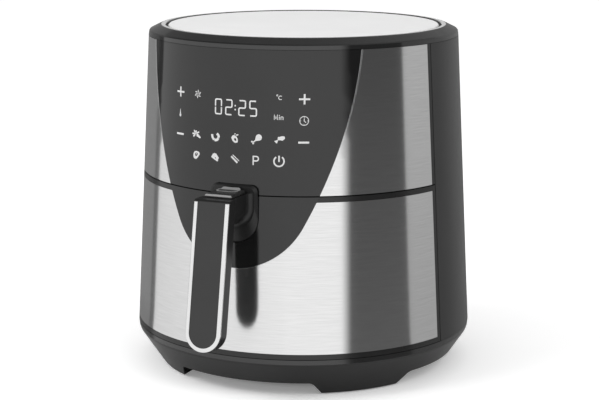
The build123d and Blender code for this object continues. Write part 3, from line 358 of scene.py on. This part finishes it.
def line(points, width, closed=False):
    """Faces of a line of even width through points, with mitred corners."""
    path = [Vector(point) for point in points]
    last = len(path) - 1
    rims = []
    for index, point in enumerate(path):
        before = path[index - 1] if closed or index else None
        after = path[(index + 1) % len(path)] if closed or index < last else None
        runs = [(b - a).normalized() for a, b in ((before, point), (point, after)) if a and b]
        normals = [Vector((-run.y, run.x)) for run in runs]
        across = sum(normals, Vector((0, 0))).normalized()
        reach = width / 2 / max(across.dot(normals[0]), mitre_least)
        rims.append((point - across * reach, point + across * reach))
    following = rims[1:] + rims[:1] if closed else rims[1:]
    return [[right, ahead_right, ahead_left, left] for (right, left), (ahead_right, ahead_left)
            in zip(rims, following)]


def arc_points(radius, start, end, middle=(0, 0), steps=28, flat=1.0):
    """Points along an arc, in degrees anticlockwise from the right."""
    angles = [radians(start + (end - start) * step / steps) for step in range(steps + 1)]
    return [(middle[0] + radius * cos(a), middle[1] + radius * flat * sin(a)) for a in angles]


def ring(radius, width, middle=(0, 0)):
    """Faces of a round line."""
    return line(arc_points(radius, 0, 360, middle)[:-1], width, closed=True)


def blob(outline):
    """Faces of a filled outline that can be seen whole from its middle."""
    corners = [Vector(point) for point in outline]
    middle = sum(corners, Vector((0, 0))) / len(corners)
    return [[middle, corner, after] for corner, after in zip(corners, corners[1:] + corners[:1])]


def hollow(outline, middle, share):
    """Faces of a filled outline round a hole, which is a smaller copy of it."""
    outer = [Vector(point) for point in outline]
    inner = [Vector(middle).lerp(point, share) for point in outer]
    edges = list(zip(outer, inner))
    return [[out, ahead_out, ahead_in, back]
            for (out, back), (ahead_out, ahead_in) in zip(edges, edges[1:] + edges[:1])]


def rounded(points, reach, steps=4):
    """A path whose corners are rounded off, from a given reach before each."""
    path = [Vector(point) for point in points]
    soft = [path[0]]
    for before, corner, after in zip(path, path[1:], path[2:]):
        start = corner + (before - corner).normalized() * reach
        end = corner + (after - corner).normalized() * reach
        for share in (step / steps for step in range(steps + 1)):
            soft.append(start.lerp(corner, share).lerp(corner.lerp(end, share), share))
    return soft + [path[-1]]


def oval(middle, wide, high, lean=0.0):
    """Faces of a filled oval that leans by some degrees."""
    tilt = radians(lean)
    outline = []
    for step in range(oval_steps):
        angle = 2 * pi * step / oval_steps
        x, y = wide * cos(angle), high * sin(angle)
        right = x * cos(tilt) - y * sin(tilt)
        up = x * sin(tilt) + y * cos(tilt)
        outline.append((middle[0] + right, middle[1] + up))
    return blob(outline)


def plus_mark():
    bars = [((-4.6, 0), (4.6, 0)), ((0, 0.75), (0, 4.25)), ((0, -4.25), (0, -0.75))]
    return [face for bar in bars for face in line(bar, 1.5)]


def minus_mark():
    return line([(-4.5, 0), (4.5, 0)], 1.65)


def thermometer_mark():
    right = [(0.25, 3.1), (0.4, 0.6), (1.1, -2.0), (0.8, -3.0)]
    left = [(-x, z) for x, z in reversed(right)]
    return blob(right + [(0, -3.2)] + left)


def clock_mark():
    ways = [Vector((1, 0)), Vector((0, 1)), Vector((-1, 0)), Vector((0, -1))]
    ticks = [(way * 3.3, way * 2.6) for way in ways]
    hands = line([(0.1, 2.0), (0, 0), (1.5, -1.5)], 0.6)
    return ring(3.65, 0.55) + hands + [face for tick in ticks for face in line(tick, 0.5)]


def fan_mark():
    blades = oval((0, 0), 0.6, 0.6)
    for turn in range(15, 375, 60):
        middle = (2.3 * cos(radians(turn)), 2.3 * sin(radians(turn)))
        blades += oval(middle, 1.5, 0.4, turn + 40)
    return blades


def celsius_mark():
    return ring(0.5, 0.45, (-1.7, 1.6)) + line(arc_points(1.5, 45, 315, (1.0, -0.3)), 0.55)


def minutes_mark():
    """The unit of the timer."""
    low, tall, short = -2.0, 2.1, 0.8
    strokes = [
        [(-3.8, low), (-3.8, tall), (-2.45, -1.2), (-1.1, tall), (-1.1, low)],
        [(0.35, low), (0.35, short)],
        [(1.75, low), (1.75, short)],
        rounded([(2.05, short - 0.3), (3.5, short - 0.3), (3.5, low)], 0.8),
    ]
    return oval((0.35, 1.75), 0.4, 0.4) + [face for stroke in strokes for face in line(stroke, 0.6)]


def carrot_mark():
    root = blob([(0.9, 0.5), (2.3, 0.0), (4.8, -2.2), (4.5, -3.0), (3.6, -3.1), (0.3, -1.6), (0.0, -0.6)])
    tips = [(-2.9, 3.0), (-0.3, 3.0), (2.8, 2.0), (-4.7, 0.1), (-3.6, -2.3)]
    leaves = []
    for tip in tips:
        outward = Vector(tip) - Vector((-0.8, 0.4))
        leaves += line([Vector((-0.8, 0.4)) + outward * 0.3, tip], 1.35)
    return root + oval((-0.8, 0.4), 0.75, 0.75) + leaves


def shrimp_mark():
    body = [(-3.2, 1.8), (-3.2, 0.2), (-2.6, -1.5), (-1.2, -2.8), (0.3, -3.1), (1.9, -2.6), (3.0, -1.2),
            (3.3, 0.4), (2.6, 1.6), (1.4, 2.4)]
    pieces = []
    for start in range(0, len(body) - 1, 3):
        run = [Vector(point) for point in body[start:start + 4]]
        run[0] = run[0].lerp(run[1], 0.12)
        pieces += line(run, 2.1)
    return pieces


def fruit_mark():
    body = [(-3.2, 0.7), (-2.6, 2.2), (-1.3, 3.1), (0.2, 2.9), (1.6, 1.9), (2.5, 0.2), (2.9, -1.6),
            (2.4, -2.8), (0.9, -3.3), (-0.8, -2.8), (-2.2, -1.5)]
    stem = line([(-0.2, 3.5), (0.2, 4.6)], 0.8)
    return hollow(body, (0.7, -0.7), 0.38) + stem + oval((2.1, 3.4), 1.2, 0.6, 20)


def drumstick_mark():
    neck = [(-1.5, -0.6), (-2.7, -1.6), (-2.1, -2.3), (-0.9, -1.5)]
    meat = blob(arc_points(2.65, -75, 165, (1.65, 1.6)) + neck)
    knobs = oval((-4.1, -2.1), 0.85, 0.75) + oval((-3.1, -3.4), 0.75, 0.85)
    return meat + line([(-2.3, -1.9), (-3.4, -2.7)], 1.1) + knobs


def fish_mark():
    body = [(-1.7, -0.2), (-1.6, 2.2), (-0.4, 2.2), (1.9, 2.9), (3.6, 2.7), (4.4, 1.9), (4.1, 0.6),
            (2.3, -0.8), (0.2, -0.4), (-1.3, -0.6)]
    tail = [(-1.8, -0.3), (-4.7, -1.3), (-2.4, -3.3), (-1.4, -0.8)]
    return blob(body) + blob(tail)


def steak_mark():
    rim = [(0.35, 3.4), (-1.6, 3.0), (-3.0, 1.6), (-3.3, 0.0), (-3.3, -1.6), (-2.5, -3.0), (-0.7, -3.5),
           (0.9, -2.8), (2.2, -1.2), (3.6, 0.6), (3.7, 1.9), (2.5, 3.0)]
    return hollow(rim, (0.2, 0.8), 0.45) + oval((0.25, 0.9), 0.5, 0.5)


def pizza_mark():
    slice_rim = [(-0.8, 3.6), (-2.2, 2.8), (-3.9, 0.3), (-3.5, -0.3), (2.2, -3.4), (2.8, -2.6), (2.9, -1.6),
                 (3.7, -0.2), (1.1, 3.0)]
    return hollow(slice_rim, (0.3, -0.6), 0.16)


def bacon_mark():
    """A broad and a narrow strip side by side, on a slant."""
    return line([(-3.5, 1.7), (2.2, -3.3)], 1.5) + line([(-2.2, 3.0), (3.6, -1.6)], 0.75)


def preset_mark():
    bowl = arc_points(1.85, 90, -90, (0.3, 1.45), steps=12)
    return line([(-2.3, -3.9), (-2.3, 3.85)], 1.1) + line([(-1.75, 3.3), *bowl, (-1.75, -0.4)], 1.1)


def power_mark():
    return line(arc_points(4.2, 125, 415), 1.25) + line([(0, -0.5), (0, 4.7)], 1.3)


digit_width = 5.8            # between the middles of its upright strokes
digit_height = 12.1
digit_stroke = 1.15
digit_break = 0.45           # half the gap between its upper and lower strokes
digit_corner = 1.3
digit_short = 0.5            # by which its open ends stop short of the corner


def digit(sign):
    """A digit of straight strokes with rounded corners, as a display shows it."""
    x, y = digit_width / 2, digit_height / 2
    tip = x - digit_short
    paths = {
        "0": [[(-x, side * digit_break), (-x, side * y), (x, side * y), (x, side * digit_break)]
              for side in (1, -1)],
        "2": [[(-tip, y), (x, y), (x, 0), (-x, 0), (-x, -y), (tip, -y)]],
        "5": [[(tip, y), (-x, y), (-x, 0), (x, 0), (x, -y), (-tip, -y)]],
    }
    return [face for path in paths[sign] for face in line(rounded(path, digit_corner), digit_stroke)]


def colon():
    return [face for y in (-1.6, 1.6) for face in line([(0, y - 0.6), (0, y + 0.6)], 1.2)]


# Places of the marks on the panel: millimetres round the surface, and heights
upper_row, unit_row, middle_row = 254.7, 239.6, 237.0
food_row, minus_row, lower_row, display_row = 221.0, 219.2, 203.5, 246.1
left_column, right_column, outer_column, inner_column = -59.0, 58.0, 38.0, 19.0
panel_marks = [
    (plus_mark, left_column, upper_row),
    (plus_mark, right_column, upper_row),
    (fan_mark, -outer_column, upper_row),
    (celsius_mark, outer_column - 0.8, upper_row + 1.3),
    (minutes_mark, outer_column - 0.8, unit_row),
    (thermometer_mark, left_column, middle_row),
    (clock_mark, right_column, middle_row),
    (minus_mark, left_column, minus_row),
    (minus_mark, right_column, minus_row),
    (carrot_mark, -outer_column - 1.0, food_row),
    (shrimp_mark, -inner_column, food_row),
    (fruit_mark, -0.4, food_row - 0.7),
    (drumstick_mark, inner_column, food_row),
    (fish_mark, outer_column + 0.3, food_row + 0.4),
    (steak_mark, -outer_column - 1.0, lower_row),
    (pizza_mark, -inner_column, lower_row),
    (bacon_mark, 0.0, lower_row + 0.4),
    (preset_mark, inner_column - 0.5, lower_row),
    (power_mark, outer_column, lower_row),
]
display_signs = ((-16.35, "0"), (-6.4, "2"), (5.75, "2"), (15.4, "5"))
colon_across = -0.5
mark_lift = 0.10 * mm
mark_depth = 0.16 * mm
mark_cuts = 2                # in each edge, for the panel's curve
mark_weld = 0.01             # millimetres within which corners are joined


def printed(name, placed_faces):
    """Marks laid on the curved panel as one thin piece."""
    shape = bmesh.new()
    for faces, across, height in placed_faces:
        for face in faces:
            shape.faces.new([shape.verts.new((across + x, height + z, 0)) for x, z in face])
    bmesh.ops.subdivide_edges(shape, edges=shape.edges[:], cuts=mark_cuts, use_grid_fill=True)
    bmesh.ops.remove_doubles(shape, verts=shape.verts[:], dist=mark_weld)
    for vertex in shape.verts:
        across, height, _ = vertex.co
        vertex.co = on_front(across * mm, height * mm, mark_lift)
    piece = add_piece(name, shape, "component_white")
    thicken(piece, mark_depth)
    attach(piece, "housing")


printed("touch_marks", [(draw(), across, height) for draw, across, height in panel_marks])
printed(
    "display_digits",
    [(digit(sign), across, display_row) for across, sign in display_signs]
    + [(colon(), colon_across, display_row)],
)


# Cut edges of the steel along the panel
outline_round = 63.5 * mm
outline_sweep = 63.8         # degrees
round_steps = 24
arc_steps = 40
edge_gap = 0.25 * mm         # between the panel and the steel
edge_width = 0.65 * mm
edge_sink = 0.35 * mm        # of the edge's inner side
edge_lift = 0.03 * mm
edge_depth = 0.08 * mm
edge_past_top = 0.3 * mm     # by which the upper limit lies past the outline's end
edge_past_foot = 2 * mm      # and the lower limit


def panel_side():
    """Points up one side of the panel, seen from the front, and the way out at each.

    The outline is a round bottom and an arc that leaves it smoothly and ends at the top ring.
    The radius of the arc is negative where its middle lies outside the panel."""
    middle_z = panel_foot.z + outline_round
    end = Vector((panel_high.x, panel_high.z))
    points = []
    for step in range(round_steps + 1):
        turn = radians(-90 + outline_sweep * step / round_steps)
        way = Vector((cos(turn), sin(turn)))
        points.append((way * outline_round + Vector((0, middle_z)), way))
    start, out = points[-1]
    run = end - start
    radius = run.length_squared / (2 * run.dot(-out))
    middle = start - out * radius
    first = atan2(*(start - middle).yx)
    last = atan2(*(end - middle).yx)
    for step in range(1, arc_steps + 1):
        turn = first + (last - first) * step / arc_steps
        way = Vector((cos(turn), sin(turn)))
        points.append((middle + way * radius, way * (1 if radius > 0 else -1)))
    return points


def steel_edge(name, body, low, high):
    """A narrow bevel on the steel's edge on both sides of the panel, between two heights."""
    shape = bmesh.new()
    for side in (1, -1):
        before = None
        for point, out in panel_side():
            rim = []
            for away, lift in ((edge_gap, -edge_sink), (edge_gap + edge_width, edge_lift)):
                x, z = point + out * away
                turn = asin(side * x / side_radius(z))
                rim.append(on_front(turn * side_radius(z), z, lift))
            if not low < rim[0].z < high:
                continue
            ends = [shape.verts.new(place) for place in rim]
            if before:
                shape.faces.new([before[0], before[1], ends[1], ends[0]])
            before = ends
    bmesh.ops.recalc_face_normals(shape, faces=shape.faces[:])
    piece = add_piece(name, shape, "bright_trim")
    thicken(piece, edge_depth)
    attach(piece, body)


steel_edge("panel_edge_upper", "housing", panel_low.z, panel_high.z + edge_past_top)
steel_edge("panel_edge_drawer", "drawer", panel_foot.z - edge_past_foot, drawer_top)


# Heating tube: the spiral of half turns as a smooth round tube
tube_radius = 3.25 * mm
tube_inner = 66.0 * mm       # innermost half turn
tube_step = 7.0 * mm         # added at each half turn
tube_half_turns = 5
tube_bend = 12.0 * mm
tube_bend_step = 15          # degrees
tube_steps = 18              # in a half turn
tube_roundness = 5           # Blender's steps in a quarter of its section
tube_z = coil_low.z + tube_radius


def heating_tube():
    lead_top = coil_high.z
    points = [(tube_inner, -tube_bend, lead_top), (tube_inner, -tube_bend, tube_z + tube_bend)]
    points += [(tube_inner, -tube_bend * cos(a), tube_z + tube_bend * (1 - sin(a)))
               for a in (radians(angle) for angle in range(tube_bend_step, 90, tube_bend_step))]
    for half in range(tube_half_turns):
        middle = tube_step if half % 2 else 0.0
        radius = tube_inner + tube_step * half
        for step in range(tube_steps):
            angle = pi * (step / tube_steps + half % 2)
            points.append((middle + radius * cos(angle), radius * sin(angle), tube_z))
    end_x = -tube_inner - tube_step * (tube_half_turns - 1)
    points += [(end_x, -tube_bend * sin(a), tube_z + tube_bend * (1 - cos(a)))
               for a in (radians(angle) for angle in range(0, 90 + tube_bend_step, tube_bend_step))]
    points.append((end_x, -tube_bend, lead_top))
    curve = bpy.data.curves.new("heating_tube", "CURVE")
    curve.dimensions = "3D"
    curve.bevel_depth = tube_radius
    curve.bevel_resolution = tube_roundness
    curve.use_fill_caps = True
    spline = curve.splines.new("POLY")
    spline.points.add(len(points) - 1)
    for place, (x, y, z) in zip(spline.points, points):
        place.co = (x, axis_y + y, z, 1)
    curve.materials.append(finishes["heater_sheath"])
    tube = bpy.data.objects.new("heating_tube", curve)
    scene.collection.objects.link(tube)
    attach(tube, "housing")
    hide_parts("heater_coil")


heating_tube()


# Thumb ramp: a dished rise at the back of the guard, which the thumb slides it by
thumb_rim_rise = 0.7 * mm    # of the solid's own rim round the ramp
ramp_half = 9.4 * mm
ramp_length = 12.5 * mm
ramp_inset = 1.2 * mm        # from the back of the guard
ramp_corner = 3.0 * mm
ramp_sink = 0.1 * mm         # of its underside into the guard
ramp_rise = 3.4 * mm
ramp_climb = 4               # power of the profile along the ramp
ramp_sides = 10              # power of the profile across it
ramp_round = 0.12            # share of the length that rounds the crest
ramp_dish = 0.25             # share of the rise that the middle lacks
ramp_rows = 30
ramp_columns = 16            # on each side of the middle


def thumb_ramp():
    foot_z = guard_high.z - thumb_rim_rise - ramp_sink
    back_y = guard_high.y - ramp_inset
    shape = bmesh.new()
    rows = []
    for step in range(ramp_rows + 1):
        along = step / ramp_rows
        to_back = ramp_length * (1 - along)
        in_corner = max(ramp_corner - to_back, 0)
        half = ramp_half - ramp_corner + sqrt(ramp_corner ** 2 - in_corner ** 2)
        past_crest = max(1 - (1 - along) / ramp_round, 0)
        rise = ramp_rise * along ** ramp_climb * sqrt(1 - past_crest ** 2)
        row = []
        for column in range(-ramp_columns, ramp_columns + 1):
            across = column / ramp_columns
            height = rise * (1 - across ** ramp_sides) * (1 - ramp_dish * (1 - across ** 2))
            row.append(shape.verts.new((half * across, back_y - to_back, foot_z + height)))
        rows.append(row)
    for front, back in zip(rows, rows[1:]):
        for at in range(2 * ramp_columns):
            shape.faces.new([front[at], front[at + 1], back[at + 1], back[at]])
    right_side = [row[-1] for row in rows[1:-1]]
    left_side = [row[0] for row in rows[1:-1]]
    shape.faces.new(rows[0] + right_side + rows[-1][::-1] + left_side[::-1])
    bmesh.ops.recalc_face_normals(shape, faces=shape.faces[:])
    # the parts of the ramp above the guard's rim heights take the rim's painted highlight tone from the
    # guard finish
    piece = add_piece("thumb_ramp", shape, "guard_grey")
    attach(piece, "button_guard")


thumb_ramp()


# Return spring: the bent leaf under the button, which in the real fryer flattens as the button goes down;
# here it is a copy of the solid with a mesh of its own and keeps its shape
def leaf_spring():
    leaf = bpy.data.objects.new("leaf_spring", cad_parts["button_spring"].data.copy())
    scene.collection.objects.link(leaf)
    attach(leaf, "drawer")
    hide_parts("button_spring")
    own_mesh(leaf)


leaf_spring()


# White studio: world, floor, soft lamps and the cards that the steel reflects
def seen_ray(material):
    """One for rays that look, and nought for rays that only carry light."""
    path = add_node(material, "ShaderNodeLightPath")
    looking = math_node(material, "MAXIMUM", path.outputs["Is Camera Ray"], path.outputs["Is Glossy Ray"])
    return math_node(material, "MAXIMUM", looking, path.outputs["Is Transmission Ray"])


def white_world():
    """White to the camera; to reflections white at the horizon and dim overhead."""
    world = bpy.data.worlds.new("studio")
    world.use_nodes = True
    world.node_tree.nodes.clear()
    way = add_node(world, "ShaderNodeTexCoord").outputs["Generated"]
    split = add_node(world, "ShaderNodeSeparateXYZ", {"Vector": way})
    across = math_node(world, "MULTIPLY", split.outputs["X"], cos(radians(camera_turn)))
    across = math_node(world, "MULTIPLY_ADD", split.outputs["Y"], sin(radians(camera_turn)), across)
    overhead = ramp_node(world, across, *sky_across, *sky_dim)
    sky = ramp_node(world, split.outputs["Z"], *sky_rise, 1.0, overhead)
    mirrored = add_node(world, "ShaderNodeLightPath").outputs["Is Glossy Ray"]
    level = math_node(world, "MULTIPLY_ADD", mirrored, math_node(world, "SUBTRACT", sky, 1.0), 1.0)
    lit = add_node(world, "ShaderNodeBackground", {"Color": grey(1.0), "Strength": ambient})
    seen = add_node(world, "ShaderNodeBackground", {"Color": grey(1.0), "Strength": level})
    mixed = add_node(world, "ShaderNodeMixShader", {"Fac": seen_ray(world)})
    output = add_node(world, "ShaderNodeOutputWorld")
    world.node_tree.links.new(lit.outputs["Background"], mixed.inputs[1])
    world.node_tree.links.new(seen.outputs["Background"], mixed.inputs[2])
    world.node_tree.links.new(mixed.outputs["Shader"], output.inputs["Surface"])
    scene.world = world


def stage_sheet(name, corners, material):
    """A flat or curved sheet of the studio, from rows of points."""
    mesh = bpy.data.meshes.new(name)
    vertices = [point for row in corners for point in row]
    columns = len(corners[0])
    faces = [
        (row * columns + at, row * columns + at + 1, (row + 1) * columns + at + 1, (row + 1) * columns + at)
        for row in range(len(corners) - 1)
        for at in range(columns - 1)
    ]
    mesh.from_pydata(vertices, [], faces)
    mesh.materials.append(material)
    sheet = bpy.data.objects.new(name, mesh)
    scene.collection.objects.link(sheet)
    return sheet


def bare_material(name):
    """A material without any nodes."""
    material = bpy.data.materials.new(name)
    material.use_nodes = True
    material.node_tree.nodes.clear()
    return material


def white_floor():
    """A floor that is white to the camera, with its shadow and a painted shade under the middle of the
    body, and greyer in reflections.
    """
    material = bare_material("floor")
    camera_ray = add_node(material, "ShaderNodeLightPath").outputs["Is Camera Ray"]
    tone = math_node(
        material, "MULTIPLY_ADD", seen_ray(material), floor_mirrored - floor_colour, floor_colour
    )
    tone = math_node(material, "MULTIPLY_ADD", camera_ray, floor_seen - floor_mirrored, tone)
    paint = add_node(material, "ShaderNodeBsdfDiffuse", {"Color": tone})
    place = add_node(material, "ShaderNodeTexCoord").outputs["Object"]
    middle = Vector((0, axis_y, 0))
    away = add_node(material, "ShaderNodeVectorMath", {0: place, 1: middle}, operation="DISTANCE")
    # the glow is left out under the middle of the body: painted shade on the floor there
    glow_there = ramp_node(material, away.outputs["Value"], *floor_covered, 0.0, floor_glow)
    strength = math_node(material, "MULTIPLY", camera_ray, glow_there)
    glow = add_node(material, "ShaderNodeEmission", {"Color": grey(1.0), "Strength": strength})
    both = add_node(material, "ShaderNodeAddShader")
    output = add_node(material, "ShaderNodeOutputMaterial")
    material.node_tree.links.new(paint.outputs["BSDF"], both.inputs[0])
    material.node_tree.links.new(glow.outputs["Emission"], both.inputs[1])
    material.node_tree.links.new(both.outputs["Shader"], output.inputs["Surface"])
    half = floor_size / 2
    corners = [[(-half, -half, 0), (half, -half, 0)], [(-half, half, 0), (half, half, 0)]]
    stage_sheet("floor", corners, material)


def card(name, start, end, first, last, foot_share=1.0, rise=card_rise, inset=0.0, lean=0.0):
    """A glowing card on an arc round the body that only reflections show, with a foot on the floor.

    Its limits are in degrees right of the camera, and lean by degrees for each metre of height.
    Its level runs from first to last along the arc, and comes up from a share of that at the foot."""
    material = bare_material(name)
    place = add_node(material, "ShaderNodeTexCoord").outputs["Object"]
    split = add_node(material, "ShaderNodeSeparateXYZ", {"Vector": place})
    right, high = split.outputs["X"], split.outputs["Z"]
    ahead = math_node(material, "SUBTRACT", axis_y, split.outputs["Y"])
    ahead_square = math_node(material, "MULTIPLY", ahead, ahead)
    square = math_node(material, "MULTIPLY_ADD", right, right, ahead_square)
    outward = math_node(material, "SUBTRACT", math_node(material, "SQRT", square), card_radius)
    from_front = math_node(material, "ARCTAN2", right, ahead)
    turn = math_node(material, "SUBTRACT", from_front, radians(camera_turn))
    upright = math_node(material, "MULTIPLY_ADD", high, -radians(lean), turn)
    narrowing = card_narrow / (card_radius - card_foot)
    spread = math_node(material, "MULTIPLY_ADD", outward, narrowing, 1.0)
    spread_turn = math_node(material, "DIVIDE", upright, spread)
    level = ramp_node(material, spread_turn, radians(start), radians(end), first, last)
    share = ramp_node(material, math_node(material, "ADD", high, outward), *rise, foot_share, 1.0)
    strength = math_node(material, "MULTIPLY", level, share)
    glow = add_node(material, "ShaderNodeEmission", {"Color": grey(1.0), "Strength": strength})
    output = add_node(material, "ShaderNodeOutputMaterial")
    material.node_tree.links.new(glow.outputs["Emission"], output.inputs["Surface"])
    reach = card_radius - inset
    foot_z = card_lift + inset / card_stack
    rows = []
    for r, z in ((card_foot, foot_z), (reach, foot_z), (reach, card_height)):
        narrow = 1 + narrowing * (r - card_radius)
        ways = [start + (end - start) * step / card_steps for step in range(card_steps + 1)]
        turns = [radians(camera_turn + lean * z + way * narrow) for way in ways]
        rows.append([(r * sin(turn), axis_y - r * cos(turn), z) for turn in turns])
    sheet = stage_sheet(name, rows, material)
    sheet.visible_camera = False
    sheet.visible_diffuse = False
    sheet.visible_transmission = False
    sheet.visible_shadow = False


def softbox(name, place, size, power):
    """A square lamp that faces the middle of the body and doesn't show in reflections."""
    light = bpy.data.lights.new(name, "AREA")
    light.shape = "SQUARE"
    light.size = size
    light.energy = power
    lamp = bpy.data.objects.new(name, light)
    lamp.location = place
    aim = Vector((0, axis_y, lamp_aim)) - Vector(place)
    lamp.rotation_euler = aim.to_track_quat("-Z", "Y").to_euler()
    lamp.visible_glossy = False
    scene.collection.objects.link(lamp)


white_world()
white_floor()
card("card_front", -10, 24, 1.0, 1.0, 0.97)
card("card_soft", 19.9, 25.3, 1.0, 0.068, 1.0, inset=10 * mm, lean=5.0)
card("card_dark", 24.0, 61.7, 0.065, 0.070, 1.6)
card("card_grey", 61.7, 112, 0.47, 0.45, 0.83)
card("card_right", 112, 154, 0.45, 0.20, 0.83)
card("card_left", -104, -10, 0.78, 1.0, 0.95)
card("card_edge", -111, -104, 0.14, 0.14, 0.9, rise=(-0.08, 0.0))
card("card_back", -154, -111, 0.24, 0.25, 0.85, rise=(-0.08, 0.0))
softbox("lamp_left", (-1.6, -1.5, 2.2), 1.6, 28)
softbox("lamp_right", (1.9, -0.9, 2.0), 1.6, 16)

camera_data = bpy.data.cameras.new("camera")
camera_data.lens = camera_lens
camera_data.sensor_width = camera_sensor
camera = bpy.data.objects.new("camera", camera_data)
camera.location = camera_place + Vector((0, axis_y, 0))
camera.rotation_euler = (radians(90 - camera_down), 0, radians(camera_turn))
scene.collection.objects.link(camera)
scene.camera = camera
scene.view_settings.view_transform = "Standard"
